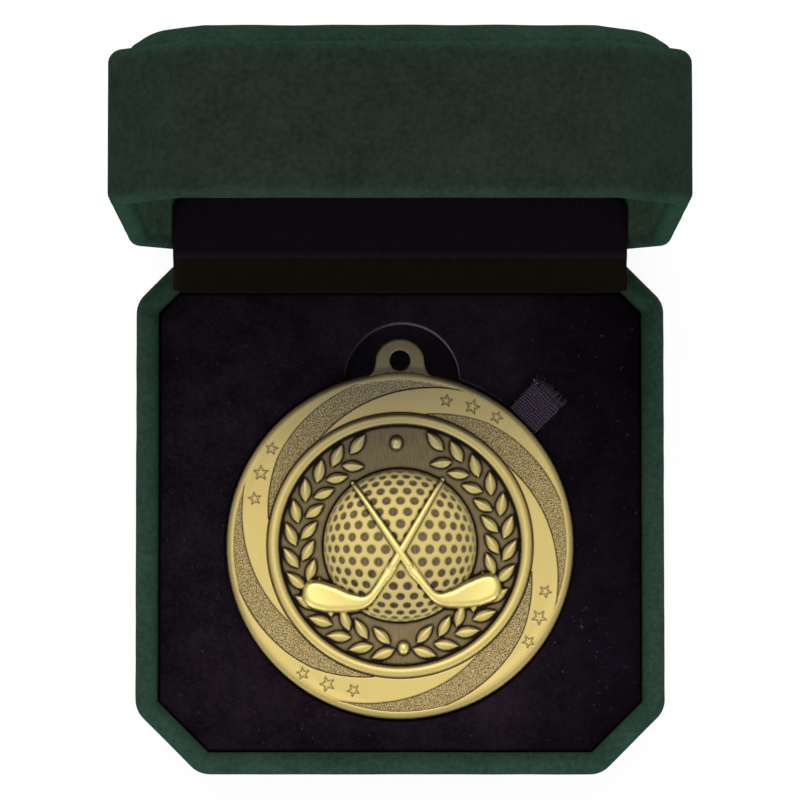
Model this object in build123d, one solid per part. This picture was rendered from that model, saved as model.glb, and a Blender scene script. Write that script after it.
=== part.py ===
from build123d import *
import os
from math import cos, hypot, radians, sin, sqrt

os.makedirs("parts", exist_ok=True)

# Frame: origin at the middle of the base's underside, +Z up, hinge at +Y, front at -Y.
# All lengths are in millimetres. The lid is modelled shut and then swung open about the hinge axis.

# Case outline, seen from above; its width and depth follow from the medal that it is made for
base_height = 22.0
corner_cut = 11.0
corner_radius = 4.5
lid_overhang = 0.75

# Walls and covers
shell_wall = 2.6
shell_floor = 2.0
velour = 0.6
rim_round = 1.2
foot_round = 0.8
cover_lift = 0.2

# Sole under the base
sole_thickness = 0.8
sole_gap = 0.3

# Lid
lid_wall_height = 24.8
lid_top_thickness = 2.0
lid_edge_round = 2.3
lid_cover_turn_over = 7.0
lid_cover_ceiling_gap = 5.2
lid_swing = 90.0
rim_gap = 0.3

# Padded top of the lid
pillow_inset = 3.7
pillow_board = 0.8
pillow_rise = 1.7
pillow_crown = 2.1
pillow_crown_run = 8.3
pillow_round = 1.5
pillow_foam_round = 0.2

# Rise of the pillow's crown from its shoulder: share of the run, share of the crown
pillow_crown_shares = [(0, 0), (0.32, 0.57), (0.6, 0.85), (1, 1)]

# Padded lining inside the lid
lining_board = 1.2
lining_pad = 3.0
lining_cover = 0.5
lining_clearance = 0.4
lining_crown = 0.8

# Insert in the base
insert_below_rim = 4.0
insert_clearance = 0.3
insert_edge_round = 0.5
board_thickness = 2.8
velvet = 0.6
recess_clearance = 0.5
insert_side_border = 11.1
insert_front_border = 5.0
insert_back_border = 5.3
notch_radius = 9.9
notch_offset_x = 0.35
notch_inside_rim = 1.45
notch_depth = 4.6
seat_card = 0.6

# Medal blank
medal_radius = 30.0
medal_thickness = 3.4
medal_back_round = 0.5
medal_rim_round = 1.1
medal_rim_slope = 0.5
medal_seat_gap = 0.05
band_drop = 0.25
band_width = 7.2
ring_width = 1.8
ring_side_slope = 0.15
ring_rise = 0.4
field_drop = 0.95
field_width = 7.7
ball_edge_drop = 0.55
ball_rise = 0.8

# Loop of the medal
loop_hole_radius = 1.85
loop_hole_beyond_rim = 2.13
loop_outer_radius = 4.0
loop_thickness = 2.4
loop_foot_width = 9.2
loop_foot_depth = 2.0
loop_lift = 0.5

# Relief of the medal
swirl_count = 4
swirl_depth = 0.12
swirl_ring_gap = 0.6
swirl_rim_gap = 2.0
swirl_start_angle = 123.0
swirl_width_angle = 44.5
swirl_sweep_angle = 55.5
swirl_steps = 6
club_rise = 0.4
club_head_drop = 0.1
leaf_length = 4.4
leaf_width = 1.9
leaf_rise = 0.55
leaf_root = 0.1
leaf_ring_gap = 1.9
leaf_ball_gap = 2.6
leaf_tilt_angle = 33.0
leaf_first_angle = 11.5
leaf_step_angle = 12.3
leaf_rows = 13
leaf_behind_clubs = (4, 5)
bead_radius = 0.9
bead_ring_gap = 3.2
relief_turn = 2.0

# Corners of one crossed club before the relief's turn, as shares of the sunk field's radius
club_outline_shares = [
    (-0.362, 0.552),
    (-0.400, 0.529),
    (0.048, -0.157),
    (0.160, -0.329),
    (0.229, -0.438),
    (0.314, -0.521),
    (0.533, -0.533),
    (0.686, -0.514),
    (0.800, -0.457),
    (0.838, -0.390),
    (0.790, -0.276),
    (0.714, -0.248),
    (0.500, -0.352),
    (0.345, -0.414),
    (0.281, -0.386),
    (0.081, -0.148),
]

# Pull ribbon
ribbon_width = 6.35
ribbon_thickness = 0.35
ribbon_angle = 45.5
ribbon_free_length = 8.7
ribbon_tail_length = 16.0
ribbon_riser_gap = 0.35
ribbon_riser_top_gap = 0.3
ribbon_axis_beyond_medal = 0.6
ribbon_root_gap = 0.3
ribbon_pocket = 0.6
ribbon_lift_gap = 0.1
ribbon_side_clearance = 0.4

# Hinge
hinge_inset = 1.59
barrel_radius = 1.25
pin_radius = 0.65
pin_clearance = 0.05
leaf_thickness = 0.5
leaf_height = 11.0
leaf_cover_overlap = 0.5
hinge_end_gap = 1.0
knuckle_count = 5
knuckle_gap = 0.3
notch_clearance = 0.35
rivet_radius = 0.8
rivet_head_radius = 1.5
rivet_head_height = 0.4
rivet_clearance = 0.05
rivet_end_gap = 8.1
rivets_each_side = 2
rivet_drop = 6.5

# Spring strip of the hinge
spring_thickness = 0.3
spring_side_gap = 3.5
spring_reach_down = 6.5
spring_reach_back = 9.0
spring_bow = 1.7
spring_rise = 1.2
spring_bend_radius = 4.0

# Black strip that hides the hinge
liner_thickness = 0.5
liner_from_back = 9.1
liner_tuck = 1.5
liner_over_rim = 0.8
liner_in_lid = 9.5
liner_crease_ahead = 1.3
liner_bend_radius = 1.2
liner_side_clearance = 0.15

overrun = 1.0
small_radius = 0.4
level_tolerance = 0.001

# Levels and places worked out from the sizes above
cut_shrink_share = 2 - sqrt(2)
rim_width = shell_wall + 2 * velour
insert_inset = rim_width + insert_clearance
recess_radius = medal_radius + recess_clearance
notch_offset_y = medal_radius - notch_inside_rim
insert_width = 2 * (recess_radius + insert_side_border)
insert_front_part = insert_front_border + recess_radius
insert_depth = insert_front_part + notch_offset_y + notch_radius + insert_back_border
base_width = insert_width + 2 * insert_inset
base_depth = insert_inset + insert_depth + liner_side_clearance + liner_from_back
medal_offset_y = insert_inset + insert_front_part - base_depth / 2
lid_width = base_width + 2 * lid_overhang
lid_depth = base_depth + 2 * lid_overhang
lid_corner_cut = corner_cut + cut_shrink_share * lid_overhang
lid_corner_radius = corner_radius + lid_overhang
base_back_y = base_depth / 2
base_inner_back_y = base_back_y - rim_width
lid_back_y = lid_depth / 2
lid_inner_back_y = lid_back_y - rim_width
lid_rim_z = base_height + rim_gap
lid_top_z = lid_rim_z + lid_wall_height
lid_ceiling = lid_wall_height - velour - lid_top_thickness
lid_cover_inside = lid_ceiling - lid_cover_ceiling_gap
hinge_y = lid_back_y - hinge_inset
hinge_z = lid_rim_z + hinge_inset
open_rim_y = hinge_y - hinge_inset
base_inner_cut = corner_cut - cut_shrink_share * rim_width
barrel_half = base_width / 2 - rim_width - base_inner_cut - hinge_end_gap
knuckle_length = (2 * barrel_half - (knuckle_count - 1) * knuckle_gap) / knuckle_count
rivet_spacing = (barrel_half - rivet_end_gap) / rivets_each_side
spring_width = 2 * (rivet_spacing - rivet_head_radius - spring_side_gap)
shell_floor_z = sole_thickness + shell_floor
cover_inside_bottom_z = base_height - leaf_height - leaf_cover_overlap
insert_top_z = base_height - insert_below_rim
board_top_z = insert_top_z - velvet
board_bottom_z = board_top_z - board_thickness
recess_floor_z = board_bottom_z + seat_card + velvet
notch_floor_z = insert_top_z - notch_depth
notch_y = medal_offset_y + notch_offset_y
liner_front_y = base_back_y - liner_from_back
insert_back_y = liner_front_y - liner_side_clearance
medal_bottom_z = recess_floor_z + ribbon_thickness + medal_seat_gap
ribbon_axis_radius = medal_radius + ribbon_axis_beyond_medal
ring_outer_radius = medal_radius - band_width
ring_inner_radius = ring_outer_radius - ring_width
ball_radius = ring_inner_radius - field_width
loop_hole_distance = medal_radius + loop_hole_beyond_rim
bottom_angle = relief_turn - 90


def octagon(width, depth, cut, radius, inset):
    """Rectangle with corners cut at 45 degrees and rounded, drawn in by inset all round."""
    half_x = width / 2 - inset
    half_y = depth / 2 - inset
    leg = cut - cut_shrink_share * inset
    points = [
        (half_x, leg - half_y),
        (half_x, half_y - leg),
        (half_x - leg, half_y),
        (leg - half_x, half_y),
        (-half_x, half_y - leg),
        (-half_x, leg - half_y),
        (leg - half_x, -half_y),
        (half_x - leg, -half_y),
    ]
    face = Polygon(*points, align=None)
    return fillet(face.vertices(), max(radius - inset, small_radius))


def base_prism(inset, bottom, top):
    """Straight block with the base's outline, drawn in by inset."""
    face = octagon(base_width, base_depth, corner_cut, corner_radius, inset)
    return Pos(0, 0, bottom) * extrude(face, amount=top - bottom)


def lid_prism(inset, bottom, top):
    """Straight block with the lid's outline; heights count up from the shut lid's rim."""
    face = octagon(lid_width, lid_depth, lid_corner_cut, lid_corner_radius, inset)
    return Pos(0, 0, lid_rim_z + bottom) * extrude(face, amount=top - bottom)


def block(x_range, y_range, z_range):
    """Box between three pairs of limits."""
    ranges = (x_range, y_range, z_range)
    size = [high - low for low, high in ranges]
    middle = [(high + low) / 2 for low, high in ranges]
    return Pos(*middle) * Box(*size)


def disc(radius, x, y, bottom, top):
    """Upright cylinder between two heights."""
    return Pos(x, y, (bottom + top) / 2) * Cylinder(radius, top - bottom)


def rod_x(radius, x_range, y, z):
    """Cylinder along X between two places."""
    low, high = x_range
    return Pos((low + high) / 2, y, z) * Rot(0, 90, 0) * Cylinder(radius, high - low)


def rod_y(radius, x, y_range, z):
    """Cylinder along Y between two places."""
    low, high = y_range
    return Pos(x, (low + high) / 2, z) * Rot(90, 0, 0) * Cylinder(radius, high - low)


def rounded_at(solid, height, radius):
    """Rounds every edge that lies in one level plane."""
    low = height - level_tolerance
    edges = solid.edges().filter_by_position(Axis.Z, low, height + level_tolerance)
    return fillet(edges, radius)


def swing_open(piece):
    """Turns a piece of the shut lid to its open place."""
    return piece.rotate(Axis((0, hinge_y, hinge_z), (1, 0, 0)), -lid_swing)


def arc_size(half_chord, rise):
    """Radius of the arc that rises so far over a chord."""
    return (rise**2 + half_chord**2) / (2 * rise)


def dome_block(half_chord, side_height, crown):
    """Round block standing on Z zero whose top domes up by crown in the middle."""
    size = arc_size(half_chord, crown)
    top_z = side_height + crown
    return disc(half_chord, 0, 0, 0, top_z) & Pos(0, 0, top_z - size) * Sphere(size)


def strip(points, radius, thickness, width):
    """Bent strip: points are (y, z) places of its middle line, rounded and spread along X."""
    path = FilletPolyline(*points, radius=radius)
    face = trace(path, thickness)
    plane = Plane(origin=(-width / 2, 0, 0), x_dir=(0, 1, 0), z_dir=(1, 0, 0))
    return plane * extrude(face, amount=width)


def rivet_places():
    """X places of the rivets on both sides of the spring."""
    steps = range(1, rivets_each_side + 1)
    return [side * step * rivet_spacing for side in (-1, 1) for step in steps]


# Base of the case


def base_wall():
    """Velour-covered wall with its rounded rim, before the stiff core is taken out."""
    outer = rounded_at(base_prism(0, cover_lift, base_height), cover_lift, foot_round)
    ring = outer - base_prism(rim_width, 0, base_height + overrun)
    return rounded_at(ring, base_height, rim_round)


def base_core():
    """Stiff octagonal tray, before the rivet holes."""
    top = base_height - velour
    tray = base_prism(velour, sole_thickness, top)
    tray -= base_prism(velour + shell_wall, shell_floor_z, base_height)
    return rounded_at(tray, top, rim_round - velour)


def base_rivet_z():
    return base_height - rivet_drop


def base_rivet_holes():
    radius = rivet_radius + rivet_clearance
    inside = base_inner_back_y - leaf_thickness - overrun
    outside = base_back_y - velour
    return [rod_y(radius, x, (inside, outside), base_rivet_z()) for x in rivet_places()]


def base_shell():
    return base_core() - base_rivet_holes()


def base_cover():
    lower_inside = base_prism(velour + shell_wall, sole_thickness, cover_inside_bottom_z)
    return base_wall() - base_core() - lower_inside - base_rivet_holes()


def base_sole():
    return base_prism(rim_width + sole_gap, 0, sole_thickness)


# Insert


def insert_prism(inset, bottom, top):
    """Straight block that fills the base's inside up to the hinge room at the back."""
    inside = base_prism(insert_inset + inset, bottom, top)
    back = (insert_back_y - inset, base_back_y)
    room = block((-base_width, base_width), back, (bottom - overrun, top + overrun))
    return inside - room


def round_and_notch(widen, bottom, notch_bottom, top):
    """Space of the medal and of the finger notch beside its loop."""
    space = disc(recess_radius + widen, 0, medal_offset_y, bottom, top)
    space += disc(notch_radius + widen, notch_offset_x, notch_y, notch_bottom, top)
    return space


def ribbon_block(x_range, half_width, z_range):
    """Box in the ribbon's own direction, X counted out from the medal's middle."""
    piece = block(x_range, (-half_width, half_width), z_range)
    return Pos(0, medal_offset_y, 0) * Rot(0, 0, ribbon_angle) * piece


def ribbon_room(widen, bottom, top):
    """Pocket in the recess wall where the ribbon climbs out."""
    half_width = ribbon_width / 2 + ribbon_side_clearance + widen
    outer = recess_radius + ribbon_pocket + widen
    return ribbon_block((medal_radius / 2, outer), half_width, (bottom, top))


def insert_foam():
    body = insert_prism(velvet, shell_floor_z, board_bottom_z)
    hole_bottom = notch_floor_z - velvet
    return body - disc(notch_radius + velvet, notch_offset_x, notch_y, hole_bottom, board_top_z)


def insert_board():
    body = insert_prism(velvet, board_bottom_z, board_top_z)
    bottom = board_bottom_z - overrun
    body -= round_and_notch(velvet, bottom, bottom, insert_top_z)
    return body - ribbon_room(velvet, bottom, insert_top_z)


def insert_seat():
    seat = disc(recess_radius, 0, medal_offset_y, board_bottom_z, board_bottom_z + seat_card)
    return seat - disc(notch_radius + velvet, notch_offset_x, notch_y, 0, base_height)


def insert_velvet():
    skin = insert_prism(0, board_bottom_z, insert_top_z)
    skin = rounded_at(skin, insert_top_z, insert_edge_round)
    lining_bottom = notch_floor_z - velvet
    skin += disc(notch_radius + velvet, notch_offset_x, notch_y, lining_bottom, insert_top_z - velvet)
    skin -= insert_board() + insert_seat()
    top = insert_top_z + overrun
    skin -= round_and_notch(0, recess_floor_z, notch_floor_z, top)
    return skin - ribbon_room(0, recess_floor_z, top)


# Pull ribbon


def ribbon_tail():
    """Fixed stretch under the medal and the short climb up the recess wall."""
    riser = medal_radius + ribbon_riser_gap
    end = riser + ribbon_thickness
    start = end - ribbon_tail_length
    half = ribbon_width / 2
    run_top = recess_floor_z + ribbon_thickness
    run = ribbon_block((start, end), half, (recess_floor_z, run_top))
    climb_top = insert_top_z - ribbon_riser_top_gap
    return run + ribbon_block((riser, end), half, (recess_floor_z, climb_top))


def pull_ribbon():
    start = ribbon_axis_radius + ribbon_root_gap
    bottom = insert_top_z + ribbon_lift_gap
    z_range = (bottom, bottom + ribbon_thickness)
    return ribbon_block((start, start + ribbon_free_length), ribbon_width / 2, z_range)


# Medal, modelled about its own middle with its back at Z zero


def medal_blank():
    """Turned form: rounded rim, flat band, half-round ring, sunk field and domed ball."""
    rim_top = medal_thickness
    band = medal_thickness - band_drop
    field = medal_thickness - field_drop
    edge = medal_thickness - ball_edge_drop
    top = medal_thickness + ball_rise
    back = medal_radius - medal_back_round
    rim = medal_radius - medal_rim_round
    ring_middle = (ring_outer_radius + ring_inner_radius) / 2
    round_share = 1 - sqrt(2) / 2
    rim_mid = (medal_radius - medal_rim_round * round_share, rim_top - medal_rim_round * round_share)
    dome_size = arc_size(ball_radius, top - edge)
    dome_x = ball_radius / 2
    dome_z = top - dome_size + sqrt(dome_size**2 - dome_x**2)
    outline = Polyline(
        (0, top),
        (0, 0),
        (back, 0),
        (medal_radius, medal_back_round),
        (medal_radius, rim_top - medal_rim_round),
    )
    outline += ThreePointArc((medal_radius, rim_top - medal_rim_round), rim_mid, (rim, rim_top))
    outline += Polyline((rim, rim_top), (rim - medal_rim_slope, band), (ring_outer_radius, band))
    ring_top = (ring_middle, medal_thickness + ring_rise)
    outline += ThreePointArc((ring_outer_radius, band), ring_top, (ring_inner_radius, band))
    outline += Polyline(
        (ring_inner_radius, band),
        (ring_inner_radius - ring_side_slope, field),
        (ball_radius, field),
        (ball_radius, edge),
    )
    outline += ThreePointArc((ball_radius, edge), (dome_x, dome_z), (0, top))
    return revolve(Plane.XZ * make_face(outline), Axis.Z)


def polar(radius, angle):
    return radius * cos(radians(angle)), radius * sin(radians(angle))


def swirl_cut(turn):
    """One sunk crescent of the band, between two spirals that wind clockwise going out."""
    shares = [step / swirl_steps for step in range(swirl_steps + 1)]
    inner = ring_outer_radius + swirl_ring_gap
    outer = medal_radius - swirl_rim_gap
    gain = outer - inner
    points = []
    for share in shares:
        angle = turn + swirl_start_angle - swirl_sweep_angle * share
        points.append(polar(inner + gain * share, angle))
    end = turn + swirl_start_angle - swirl_sweep_angle
    for share in shares[1:]:
        points.append(polar(outer, end + swirl_width_angle * share))
    for share in reversed(shares[:-1]):
        angle = turn + swirl_start_angle + swirl_width_angle - swirl_sweep_angle * share
        points.append(polar(inner + gain * share, angle))
    start = turn + swirl_start_angle
    for share in reversed(shares[1:-1]):
        points.append(polar(inner, start + swirl_width_angle * share))
    floor = medal_thickness - band_drop - swirl_depth
    return Pos(0, 0, floor) * extrude(Polygon(*points, align=None), amount=overrun)


def leaf(radius, angle, tilt):
    """One raised pointed leaf, turned by tilt from the way round the medal."""
    half_length = leaf_length / 2
    half_width = leaf_width / 2
    sides = ThreePointArc((-half_length, 0), (0, half_width), (half_length, 0))
    sides += ThreePointArc((half_length, 0), (0, -half_width), (-half_length, 0))
    solid = extrude(make_face(sides), amount=leaf_rise + leaf_root)
    x, y = polar(radius, angle)
    floor = medal_thickness - field_drop - leaf_root
    return Pos(x, y, floor) * Rot(0, 0, angle + tilt) * solid


def laurel():
    """Two rows of leaves climbing both ways round the field from the bead at the bottom."""
    outer = ring_inner_radius - leaf_ring_gap
    inner = ball_radius + leaf_ball_gap
    leaves = []
    for side in (-1, 1):
        for row in range(leaf_rows):
            if row in leaf_behind_clubs:
                continue
            angle = bottom_angle + side * (leaf_first_angle + row * leaf_step_angle)
            way = side * 90
            leaves.append(leaf(outer, angle, way - side * leaf_tilt_angle))
            leaves.append(leaf(inner, angle, way + side * leaf_tilt_angle))
    return leaves


def bead(angle):
    x, y = polar(ring_inner_radius - bead_ring_gap, angle)
    floor = medal_thickness - field_drop - leaf_root
    return disc(bead_radius, x, y, floor, floor + leaf_root + leaf_rise)


def relief_limit():
    """Space under the clubs' tops: it follows the ball's dome and lies level outside it."""
    rise = ball_rise + ball_edge_drop
    side = medal_thickness - ball_edge_drop + club_rise
    dome = dome_block(ball_radius, side, rise)
    level = medal_thickness - club_head_drop
    return dome + disc(ring_inner_radius - ring_side_slope, 0, 0, 0, level)


def clubs():
    """Two crossed clubs over the ball."""
    size = ring_inner_radius
    points = [(x * size, y * size) for x, y in club_outline_shares]
    floor = medal_thickness - field_drop - leaf_root
    height = field_drop + leaf_root + ball_rise + club_rise
    one = Pos(0, 0, floor) * extrude(Polygon(*points, align=None), amount=height)
    other = mirror(one, Plane.YZ)
    return Rot(0, 0, relief_turn) * (one + other) & relief_limit()


def loop():
    """Flat eye on the rim for a ring or a ribbon."""
    foot_y = medal_radius - loop_foot_depth
    foot_half = loop_foot_width / 2
    eye_y = loop_hole_distance
    foot = Polygon(
        (-foot_half, foot_y),
        (foot_half, foot_y),
        (foot_half, medal_radius),
        (loop_outer_radius, eye_y),
        (-loop_outer_radius, eye_y),
        (-foot_half, medal_radius),
        align=None,
    )
    shape = foot + Pos(0, eye_y) * Circle(loop_outer_radius)
    return Pos(0, 0, loop_lift) * extrude(shape, amount=loop_thickness)


def medal():
    body = medal_blank() + loop()
    body -= disc(loop_hole_radius, 0, loop_hole_distance, -overrun, medal_thickness + overrun)
    body -= [swirl_cut(turn * 360 / swirl_count) for turn in range(swirl_count)]
    body += clubs()
    body += laurel() + [bead(bottom_angle), bead(bottom_angle + 180)]
    return Pos(0, medal_offset_y, medal_bottom_z) * body


# Lid, modelled shut


def lid_notch():
    """Gap in the lid's back wall where the barrel lies."""
    half = barrel_half + notch_clearance
    y_range = (lid_inner_back_y - overrun, lid_back_y + overrun)
    top = hinge_z + barrel_radius + notch_clearance
    return block((-half, half), y_range, (base_height, top))


def lid_rivet_z():
    return hinge_z + barrel_radius - leaf_thickness + rivet_drop


def lid_rivet_holes():
    radius = rivet_radius + rivet_clearance
    inside = lid_inner_back_y - leaf_thickness - overrun
    outside = lid_back_y - velour
    return [rod_y(radius, x, (inside, outside), lid_rivet_z()) for x in rivet_places()]


def lid_core():
    """Stiff octagonal lid, before its notch and rivet holes."""
    top = lid_wall_height - velour
    tray = lid_prism(velour, velour, top)
    tray -= lid_prism(velour + shell_wall, 0, lid_ceiling)
    tray = rounded_at(tray, lid_rim_z + velour, rim_round - velour)
    return rounded_at(tray, lid_rim_z + top, lid_edge_round - velour)


def lid_shell():
    return swing_open(lid_core() - lid_notch() - lid_rivet_holes())


def lid_cover():
    body = lid_prism(0, 0, lid_wall_height) - lid_prism(rim_width, -overrun, lid_cover_inside)
    body = rounded_at(body, lid_rim_z, rim_round)
    body = rounded_at(body, lid_top_z, lid_edge_round)
    body -= lid_core()
    body -= lid_prism(velour + shell_wall, lid_cover_inside, lid_ceiling)
    body -= lid_prism(lid_cover_turn_over, lid_ceiling, lid_wall_height + overrun)
    return swing_open(body - lid_notch() - lid_rivet_holes())


def lid_level(inset, height):
    """Lid outline drawn in by inset, level at a height over the shut lid's walls."""
    face = octagon(lid_width, lid_depth, lid_corner_cut, lid_corner_radius, inset)
    return Pos(0, 0, lid_top_z + height) * face


def pillow_block(inset, rise, bottom, radius):
    """Pad on the lid with rounded shoulders and a crown that swells towards the middle."""
    pad = lid_prism(inset, lid_wall_height + bottom, lid_wall_height + rise)
    pad = rounded_at(pad, lid_top_z + rise, radius)
    shoulder = inset + radius
    run = pillow_inset + pillow_crown_run - shoulder
    levels = []
    for out, up in pillow_crown_shares:
        levels.append(lid_level(shoulder + run * out, rise + pillow_crown * up))
    return pad + loft(levels, ruled=True)


def pillow_core():
    rise = pillow_rise - velour
    return pillow_block(pillow_inset + velour, rise, pillow_board, pillow_foam_round)


def lid_top_board():
    inset = pillow_inset + velour
    return swing_open(lid_prism(inset, lid_wall_height, lid_wall_height + pillow_board))


def lid_top_foam():
    return swing_open(pillow_core())


def lid_top_cover():
    pad = pillow_block(pillow_inset, pillow_rise, 0, pillow_round)
    pad -= lid_prism(pillow_inset + velour, lid_wall_height, lid_wall_height + pillow_board)
    return swing_open(pad - pillow_core())


def lining_prism(inset, bottom, top):
    """Block inside the lid, kept clear of the black strip; heights count down from the ceiling."""
    edge = rim_width + lining_clearance + inset
    column = lid_prism(edge, lid_ceiling - top, lid_ceiling - bottom)
    back = lid_back_y - liner_in_lid - liner_thickness - lining_clearance - inset
    z_range = (base_height, lid_top_z)
    return column - block((-lid_width, lid_width), (back, lid_back_y), z_range)


def lining_dome(height):
    """Limit of a lining layer whose face bulges down into the lid by the crown."""
    across = hypot(lid_width / 2, lid_depth / 2 - lid_corner_cut)
    dome = dome_block(across, height, lining_crown)
    return Pos(0, 0, lid_rim_z + lid_ceiling) * Rot(180, 0, 0) * dome


def lining_core():
    reach = lining_board + lining_pad
    return lining_prism(lining_cover, 0, reach + lining_crown) & lining_dome(reach)


def lid_lining_board():
    return swing_open(lining_prism(lining_cover, 0, lining_board))


def lid_lining_pad():
    return swing_open(lining_core() - lining_prism(0, 0, lining_board))


def lid_lining_cover():
    reach = lining_board + lining_pad + lining_cover
    outer = lining_prism(0, 0, reach + lining_crown) & lining_dome(reach)
    return swing_open(outer - lining_core())


# Hinge


def knuckle_ranges(first):
    """X limits of every second knuckle of the barrel."""
    step = knuckle_length + knuckle_gap
    starts = [number * step - barrel_half for number in range(first, knuckle_count, 2)]
    return [(start, start + knuckle_length) for start in starts]


def pin_bore():
    reach = barrel_half + overrun
    return rod_x(pin_radius + pin_clearance, (-reach, reach), hinge_y, hinge_z)


def hinge_leaf_base():
    face_y = base_inner_back_y - leaf_thickness
    plate_y = (face_y, base_inner_back_y)
    strap_bottom = hinge_z - barrel_radius
    strap_top = strap_bottom + leaf_thickness
    across = (-barrel_half, barrel_half)
    leaf_solid = block(across, plate_y, (base_height - leaf_height, base_height))
    for x_range in knuckle_ranges(0):
        leaf_solid += block(x_range, plate_y, (base_height, strap_top))
        leaf_solid += block(x_range, (face_y, hinge_y), (strap_bottom, strap_top))
        leaf_solid += rod_x(barrel_radius, x_range, hinge_y, hinge_z)
    return leaf_solid - pin_bore() - base_rivet_holes()


def hinge_leaf_lid():
    face_y = lid_inner_back_y - leaf_thickness
    plate_y = (face_y, lid_inner_back_y)
    strap_top = hinge_z + barrel_radius
    strap_bottom = strap_top - leaf_thickness
    across = (-barrel_half, barrel_half)
    leaf_solid = block(across, plate_y, (strap_bottom, strap_bottom + leaf_height))
    for x_range in knuckle_ranges(1):
        leaf_solid += block(x_range, (face_y, hinge_y), (strap_bottom, strap_top))
        leaf_solid += rod_x(barrel_radius, x_range, hinge_y, hinge_z)
    return swing_open(leaf_solid - pin_bore() - lid_rivet_holes())


def hinge_pin():
    return rod_x(pin_radius, (-barrel_half, barrel_half), hinge_y, hinge_z)


def rivets(face_y, far_y, z):
    """Rivets along Y, each with a flat head against the leaf."""
    group = []
    for x in rivet_places():
        shank = rod_y(rivet_radius, x, (face_y, far_y), z)
        head = rod_y(rivet_head_radius, x, (face_y - rivet_head_height, face_y), z)
        group.append(shank + head)
    return group


def hinge_rivets_base():
    group = rivets(base_inner_back_y - leaf_thickness, base_back_y - velour, base_rivet_z())
    return Part() + group


def hinge_rivets_lid():
    group = rivets(lid_inner_back_y - leaf_thickness, lid_back_y - velour, lid_rivet_z())
    return swing_open(Part() + group)


def hinge_spring():
    """Bowed strip between the two leaves; it snaps the lid open and shut."""
    half = spring_thickness / 2
    low_y = base_inner_back_y - leaf_thickness - half
    leaf_z = hinge_z + hinge_y - lid_inner_back_y + leaf_thickness
    points = [
        (low_y, base_height - spring_reach_down),
        (low_y - spring_bow, leaf_z + spring_rise),
        (hinge_y + spring_reach_back, leaf_z + half),
    ]
    return strip(points, spring_bend_radius, spring_thickness, spring_width)


def hinge_liner():
    """Black strip from behind the insert, over the rim and back into the open lid."""
    half = liner_thickness / 2
    middle_y = liner_front_y + half
    lid_z = lid_rim_z + liner_in_lid
    points = [
        (middle_y, insert_top_z - liner_tuck),
        (middle_y, base_height + liner_over_rim),
        (open_rim_y - liner_crease_ahead, lid_z),
        (open_rim_y + lid_ceiling - lining_clearance, lid_z),
    ]
    inner_half = lid_width / 2 - rim_width
    inner_leg = lid_corner_cut - cut_shrink_share * rim_width
    corner_narrowing = inner_leg - (liner_in_lid - half - rim_width)
    width = 2 * (inner_half - corner_narrowing - liner_side_clearance)
    band = strip(points, liner_bend_radius, liner_thickness, width)
    low = (0, base_height + liner_side_clearance)
    outside = block((-base_width, base_width), (0, base_depth), low)
    outside -= base_prism(rim_width + liner_side_clearance, 0, base_height + overrun)
    return band - outside


PIECES = [
    base_shell,
    base_cover,
    base_sole,
    insert_foam,
    insert_board,
    insert_seat,
    insert_velvet,
    ribbon_tail,
    pull_ribbon,
    medal,
    lid_shell,
    lid_cover,
    lid_top_board,
    lid_top_foam,
    lid_top_cover,
    lid_lining_board,
    lid_lining_pad,
    lid_lining_cover,
    hinge_leaf_base,
    hinge_leaf_lid,
    hinge_pin,
    hinge_rivets_base,
    hinge_rivets_lid,
    hinge_spring,
    hinge_liner,
]

for piece in PIECES:
    export_step(piece(), f"parts/{piece.__name__}.step")
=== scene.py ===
import math

import bmesh
import bpy
import numpy as np
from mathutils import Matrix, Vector


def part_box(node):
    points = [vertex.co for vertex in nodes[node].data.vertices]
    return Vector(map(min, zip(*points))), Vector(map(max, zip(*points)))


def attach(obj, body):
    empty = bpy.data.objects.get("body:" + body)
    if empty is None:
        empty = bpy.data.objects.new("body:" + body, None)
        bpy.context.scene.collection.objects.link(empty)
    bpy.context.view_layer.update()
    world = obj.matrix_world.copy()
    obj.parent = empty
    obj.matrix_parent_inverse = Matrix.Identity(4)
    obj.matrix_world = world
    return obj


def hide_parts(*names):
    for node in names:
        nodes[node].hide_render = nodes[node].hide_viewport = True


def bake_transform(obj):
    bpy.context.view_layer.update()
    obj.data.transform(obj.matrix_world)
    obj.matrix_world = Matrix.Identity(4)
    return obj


MM = 0.001

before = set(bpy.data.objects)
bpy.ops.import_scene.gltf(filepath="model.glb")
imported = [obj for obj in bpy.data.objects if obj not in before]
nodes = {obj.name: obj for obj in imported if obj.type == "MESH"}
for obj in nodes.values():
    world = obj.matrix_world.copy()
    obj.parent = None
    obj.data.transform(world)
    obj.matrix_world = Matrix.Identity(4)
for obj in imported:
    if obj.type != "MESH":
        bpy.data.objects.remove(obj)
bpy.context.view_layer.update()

# Sizes shared with the CAD source, in millimetres

BASE_W, BASE_D, BASE_H = 91.4, 92.6, 22.0
CUT, CORNER_R, OVERHANG = 11.0, 4.5, 0.75
SHRINK = 2 - math.sqrt(2)
RIM_W = 3.8
LID_W, LID_D = BASE_W + 2 * OVERHANG, BASE_D + 2 * OVERHANG
LID_CUT, LID_R = CUT + SHRINK * OVERHANG, 3.4
LID_RIM_Z = 22.3
LID_WALL = 24.8
CEILING = 22.2
HINGE_Y, HINGE_Z = 45.46, 23.89
MEDAL_Y = -6.7
MEDAL_Z = 16.2
INSERT_TOP = 18.0
RECESS_FLOOR = 15.8
NOTCH_FLOOR = 13.4
RECESS_R = 30.5
NOTCH_X, NOTCH_DY, NOTCH_R = 0.35, 28.55, 9.9
INSERT_BACK, INSERT_BORDER = 37.05, 4.1
RIBBON_ANGLE, RIBBON_HALF = math.radians(45.5), 3.175
POCKET_R, POCKET_HALF = 31.1, 3.575


# Mesh helpers


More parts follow.
